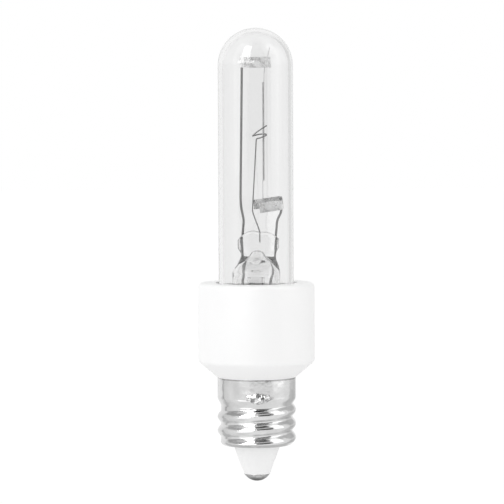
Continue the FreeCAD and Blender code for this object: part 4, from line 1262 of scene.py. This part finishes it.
def floor_material(settings):
    """Matt white floor that the camera sees as the backdrop's white, with a trace of the shadow.

    Through glass it glows by the floor's share, with painted shadow: less near the lamp, and a little less
    in a strip behind it.
    """
    material, tree = new_material("white_floor")
    grain = pattern(tree, 0.02, detail=3.0)
    white = shades(tree, grain, (0.94, 0.94, 0.94), (0.96, 0.96, 0.96))
    matt = add(tree, "ShaderNodeBsdfDiffuse", {"Color": white})
    glow = add(tree, "ShaderNodeEmission", {"Color": (1, 1, 1, 1), "Strength": 1.03})
    path = add(tree, "ShaderNodeLightPath")
    place = add(tree, "ShaderNodeTexCoord")
    length = add(tree, "ShaderNodeVectorMath", {0: place.outputs["Object"]}, operation="LENGTH")
    away = length.outputs["Value"]
    # Painted shadow: through glass the floor glows less near the lamp and a little less in a strip behind
    # it
    share = ramp(tree, away, 0.05, 0.16, settings.floor_share * 0.4, settings.floor_share)
    x, y, _ = add(tree, "ShaderNodeSeparateXYZ", {0: place.outputs["Object"]}).outputs
    slope = math_node(tree, "DIVIDE", x, math_node(tree, "MAXIMUM", y, 0.01))
    left_edge = ramp(tree, slope, -0.11, -0.05, 0, 1)
    middle = math_node(tree, "MULTIPLY", left_edge, ramp(tree, slope, 0.09, 0.20, 1, 0))
    share = math_node(tree, "MULTIPLY", share, math_node(tree, "MULTIPLY_ADD", middle, -0.055, 1.0))
    seen = math_node(tree, "MAXIMUM", path.outputs["Is Camera Ray"],
                     math_node(tree, "MULTIPLY", path.outputs["Is Transmission Ray"], share))
    both = add(tree, "ShaderNodeMixShader", {0: math_node(tree, "MULTIPLY", seen, 0.95)})
    tree.links.new(matt.outputs[0], both.inputs[1])
    tree.links.new(glow.outputs[0], both.inputs[2])
    finish(tree, both.outputs[0])
    return material


def softbox(name, turn, tilt, distance, width, height, radiance):
    """A soft oblong lamp that faces the object, turned to the camera's right and tilted over the horizon.

    Nothing mirrors it. Its energy is radiance times pi times its area, in metres.
    """
    turn, tilt = math.radians(turn), math.radians(tilt)
    middle = Vector((0, 0, 0.035))
    out = Vector((math.cos(tilt) * math.sin(turn), -math.cos(tilt) * math.cos(turn), math.sin(tilt)))
    data = bpy.data.lights.new(name, "AREA")
    data.shape = "RECTANGLE"
    data.size = width
    data.size_y = height
    data.energy = radiance * math.pi * width * height
    lamp = bpy.data.objects.new(name, data)
    lamp.visible_glossy = False
    lamp.location = middle + out * distance
    lamp.rotation_euler = (-out).to_track_quat("-Z", "Y").to_euler()
    bpy.context.scene.collection.objects.link(lamp)


def add_camera(settings):
    """The camera, in front of the upper glass, aimed a little down and rolled by a quarter of a degree."""
    data = bpy.data.cameras.new("camera")
    data.lens = settings.lens
    data.sensor_width = 36
    data.clip_start = 0.01
    data.clip_end = 20
    camera = bpy.data.objects.new("camera", data)
    place = Vector((-0.575, -391.6, 52.0)) * MM
    aim = Vector((-0.575, 0, 32.19)) * MM
    turn = (aim - place).to_track_quat("-Z", "Y").to_matrix().to_4x4()
    camera.matrix_world = Matrix.Translation(place) @ turn @ Matrix.Rotation(math.radians(-0.26), 4, "Z")
    bpy.context.scene.collection.objects.link(camera)
    bpy.context.scene.camera = camera


class LAMP_OT_studio(bpy.types.Operator):
    """Floor, backdrop, lamps and camera."""

    bl_idname = "lamp.studio"
    bl_label = "Studio"

    def execute(self, context):
        settings = context.scene.lamp_studio
        studio_world(settings)
        side = 2.5
        z = -settings.floor_drop
        mesh = bpy.data.meshes.new("floor")
        square = [(-side, -side, z), (side, -side, z), (side, side, z), (-side, side, z)]
        mesh.from_pydata(square, [], [(0, 1, 2, 3)])
        mesh.materials.append(floor_material(settings))
        floor = bpy.data.objects.new("floor", mesh)
        context.scene.collection.objects.link(floor)
        floor.visible_glossy = False
        floor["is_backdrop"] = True
        softbox("left_softbox", -58, 35, 0.6, 0.5, 0.7, settings.left_lamp)
        softbox("right_softbox", 62, 30, 0.6, 0.5, 0.7, settings.right_lamp)
        add_camera(settings)
        context.scene.view_settings.view_transform = "Standard"
        return {"FINISHED"}


class LAMP_PT_panel(bpy.types.Panel):
    """Buttons that build the lamp."""

    bl_idname = "LAMP_PT_panel"
    bl_label = "Lamp"
    bl_space_type = "VIEW_3D"
    bl_region_type = "UI"
    bl_category = "Lamp"

    def draw(self, context):
        for operator in STEPS:
            self.layout.operator(operator.bl_idname)


SETTINGS = {
    "lamp_glass": GlassSettings,
    "lamp_wires": WireSettings,
    "lamp_base": BaseSettings,
    "lamp_studio": StudioSettings,
}
STEPS = (
    LAMP_OT_envelope, LAMP_OT_stem, LAMP_OT_leads, LAMP_OT_filament, LAMP_OT_clips,
    LAMP_OT_collar, LAMP_OT_shell, LAMP_OT_tip, LAMP_OT_solder, LAMP_OT_studio,
)


def register():
    for name, group in SETTINGS.items():
        bpy.utils.register_class(group)
        setattr(bpy.types.Scene, name, bpy.props.PointerProperty(type=group))
    for cls in STEPS + (LAMP_PT_panel,):
        bpy.utils.register_class(cls)


def unregister():
    for cls in reversed(STEPS + (LAMP_PT_panel,)):
        bpy.utils.unregister_class(cls)
    for name, group in SETTINGS.items():
        delattr(bpy.types.Scene, name)
        bpy.utils.unregister_class(group)


def corners():
    """The whole object's box as plain lists."""
    return [list(corner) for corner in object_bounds()]


def main():
    """Register the add-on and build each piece."""
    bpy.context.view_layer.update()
    register()
    bpy.ops.lamp.envelope()
    bpy.ops.lamp.stem()
    bpy.ops.lamp.leads()
    bpy.ops.lamp.filament()
    bpy.ops.lamp.clips()
    bpy.ops.lamp.collar()
    bpy.ops.lamp.shell()
    bpy.ops.lamp.tip()
    bpy.ops.lamp.solder()
    bpy.ops.lamp.studio()


if __name__ == "__main__":
    main()
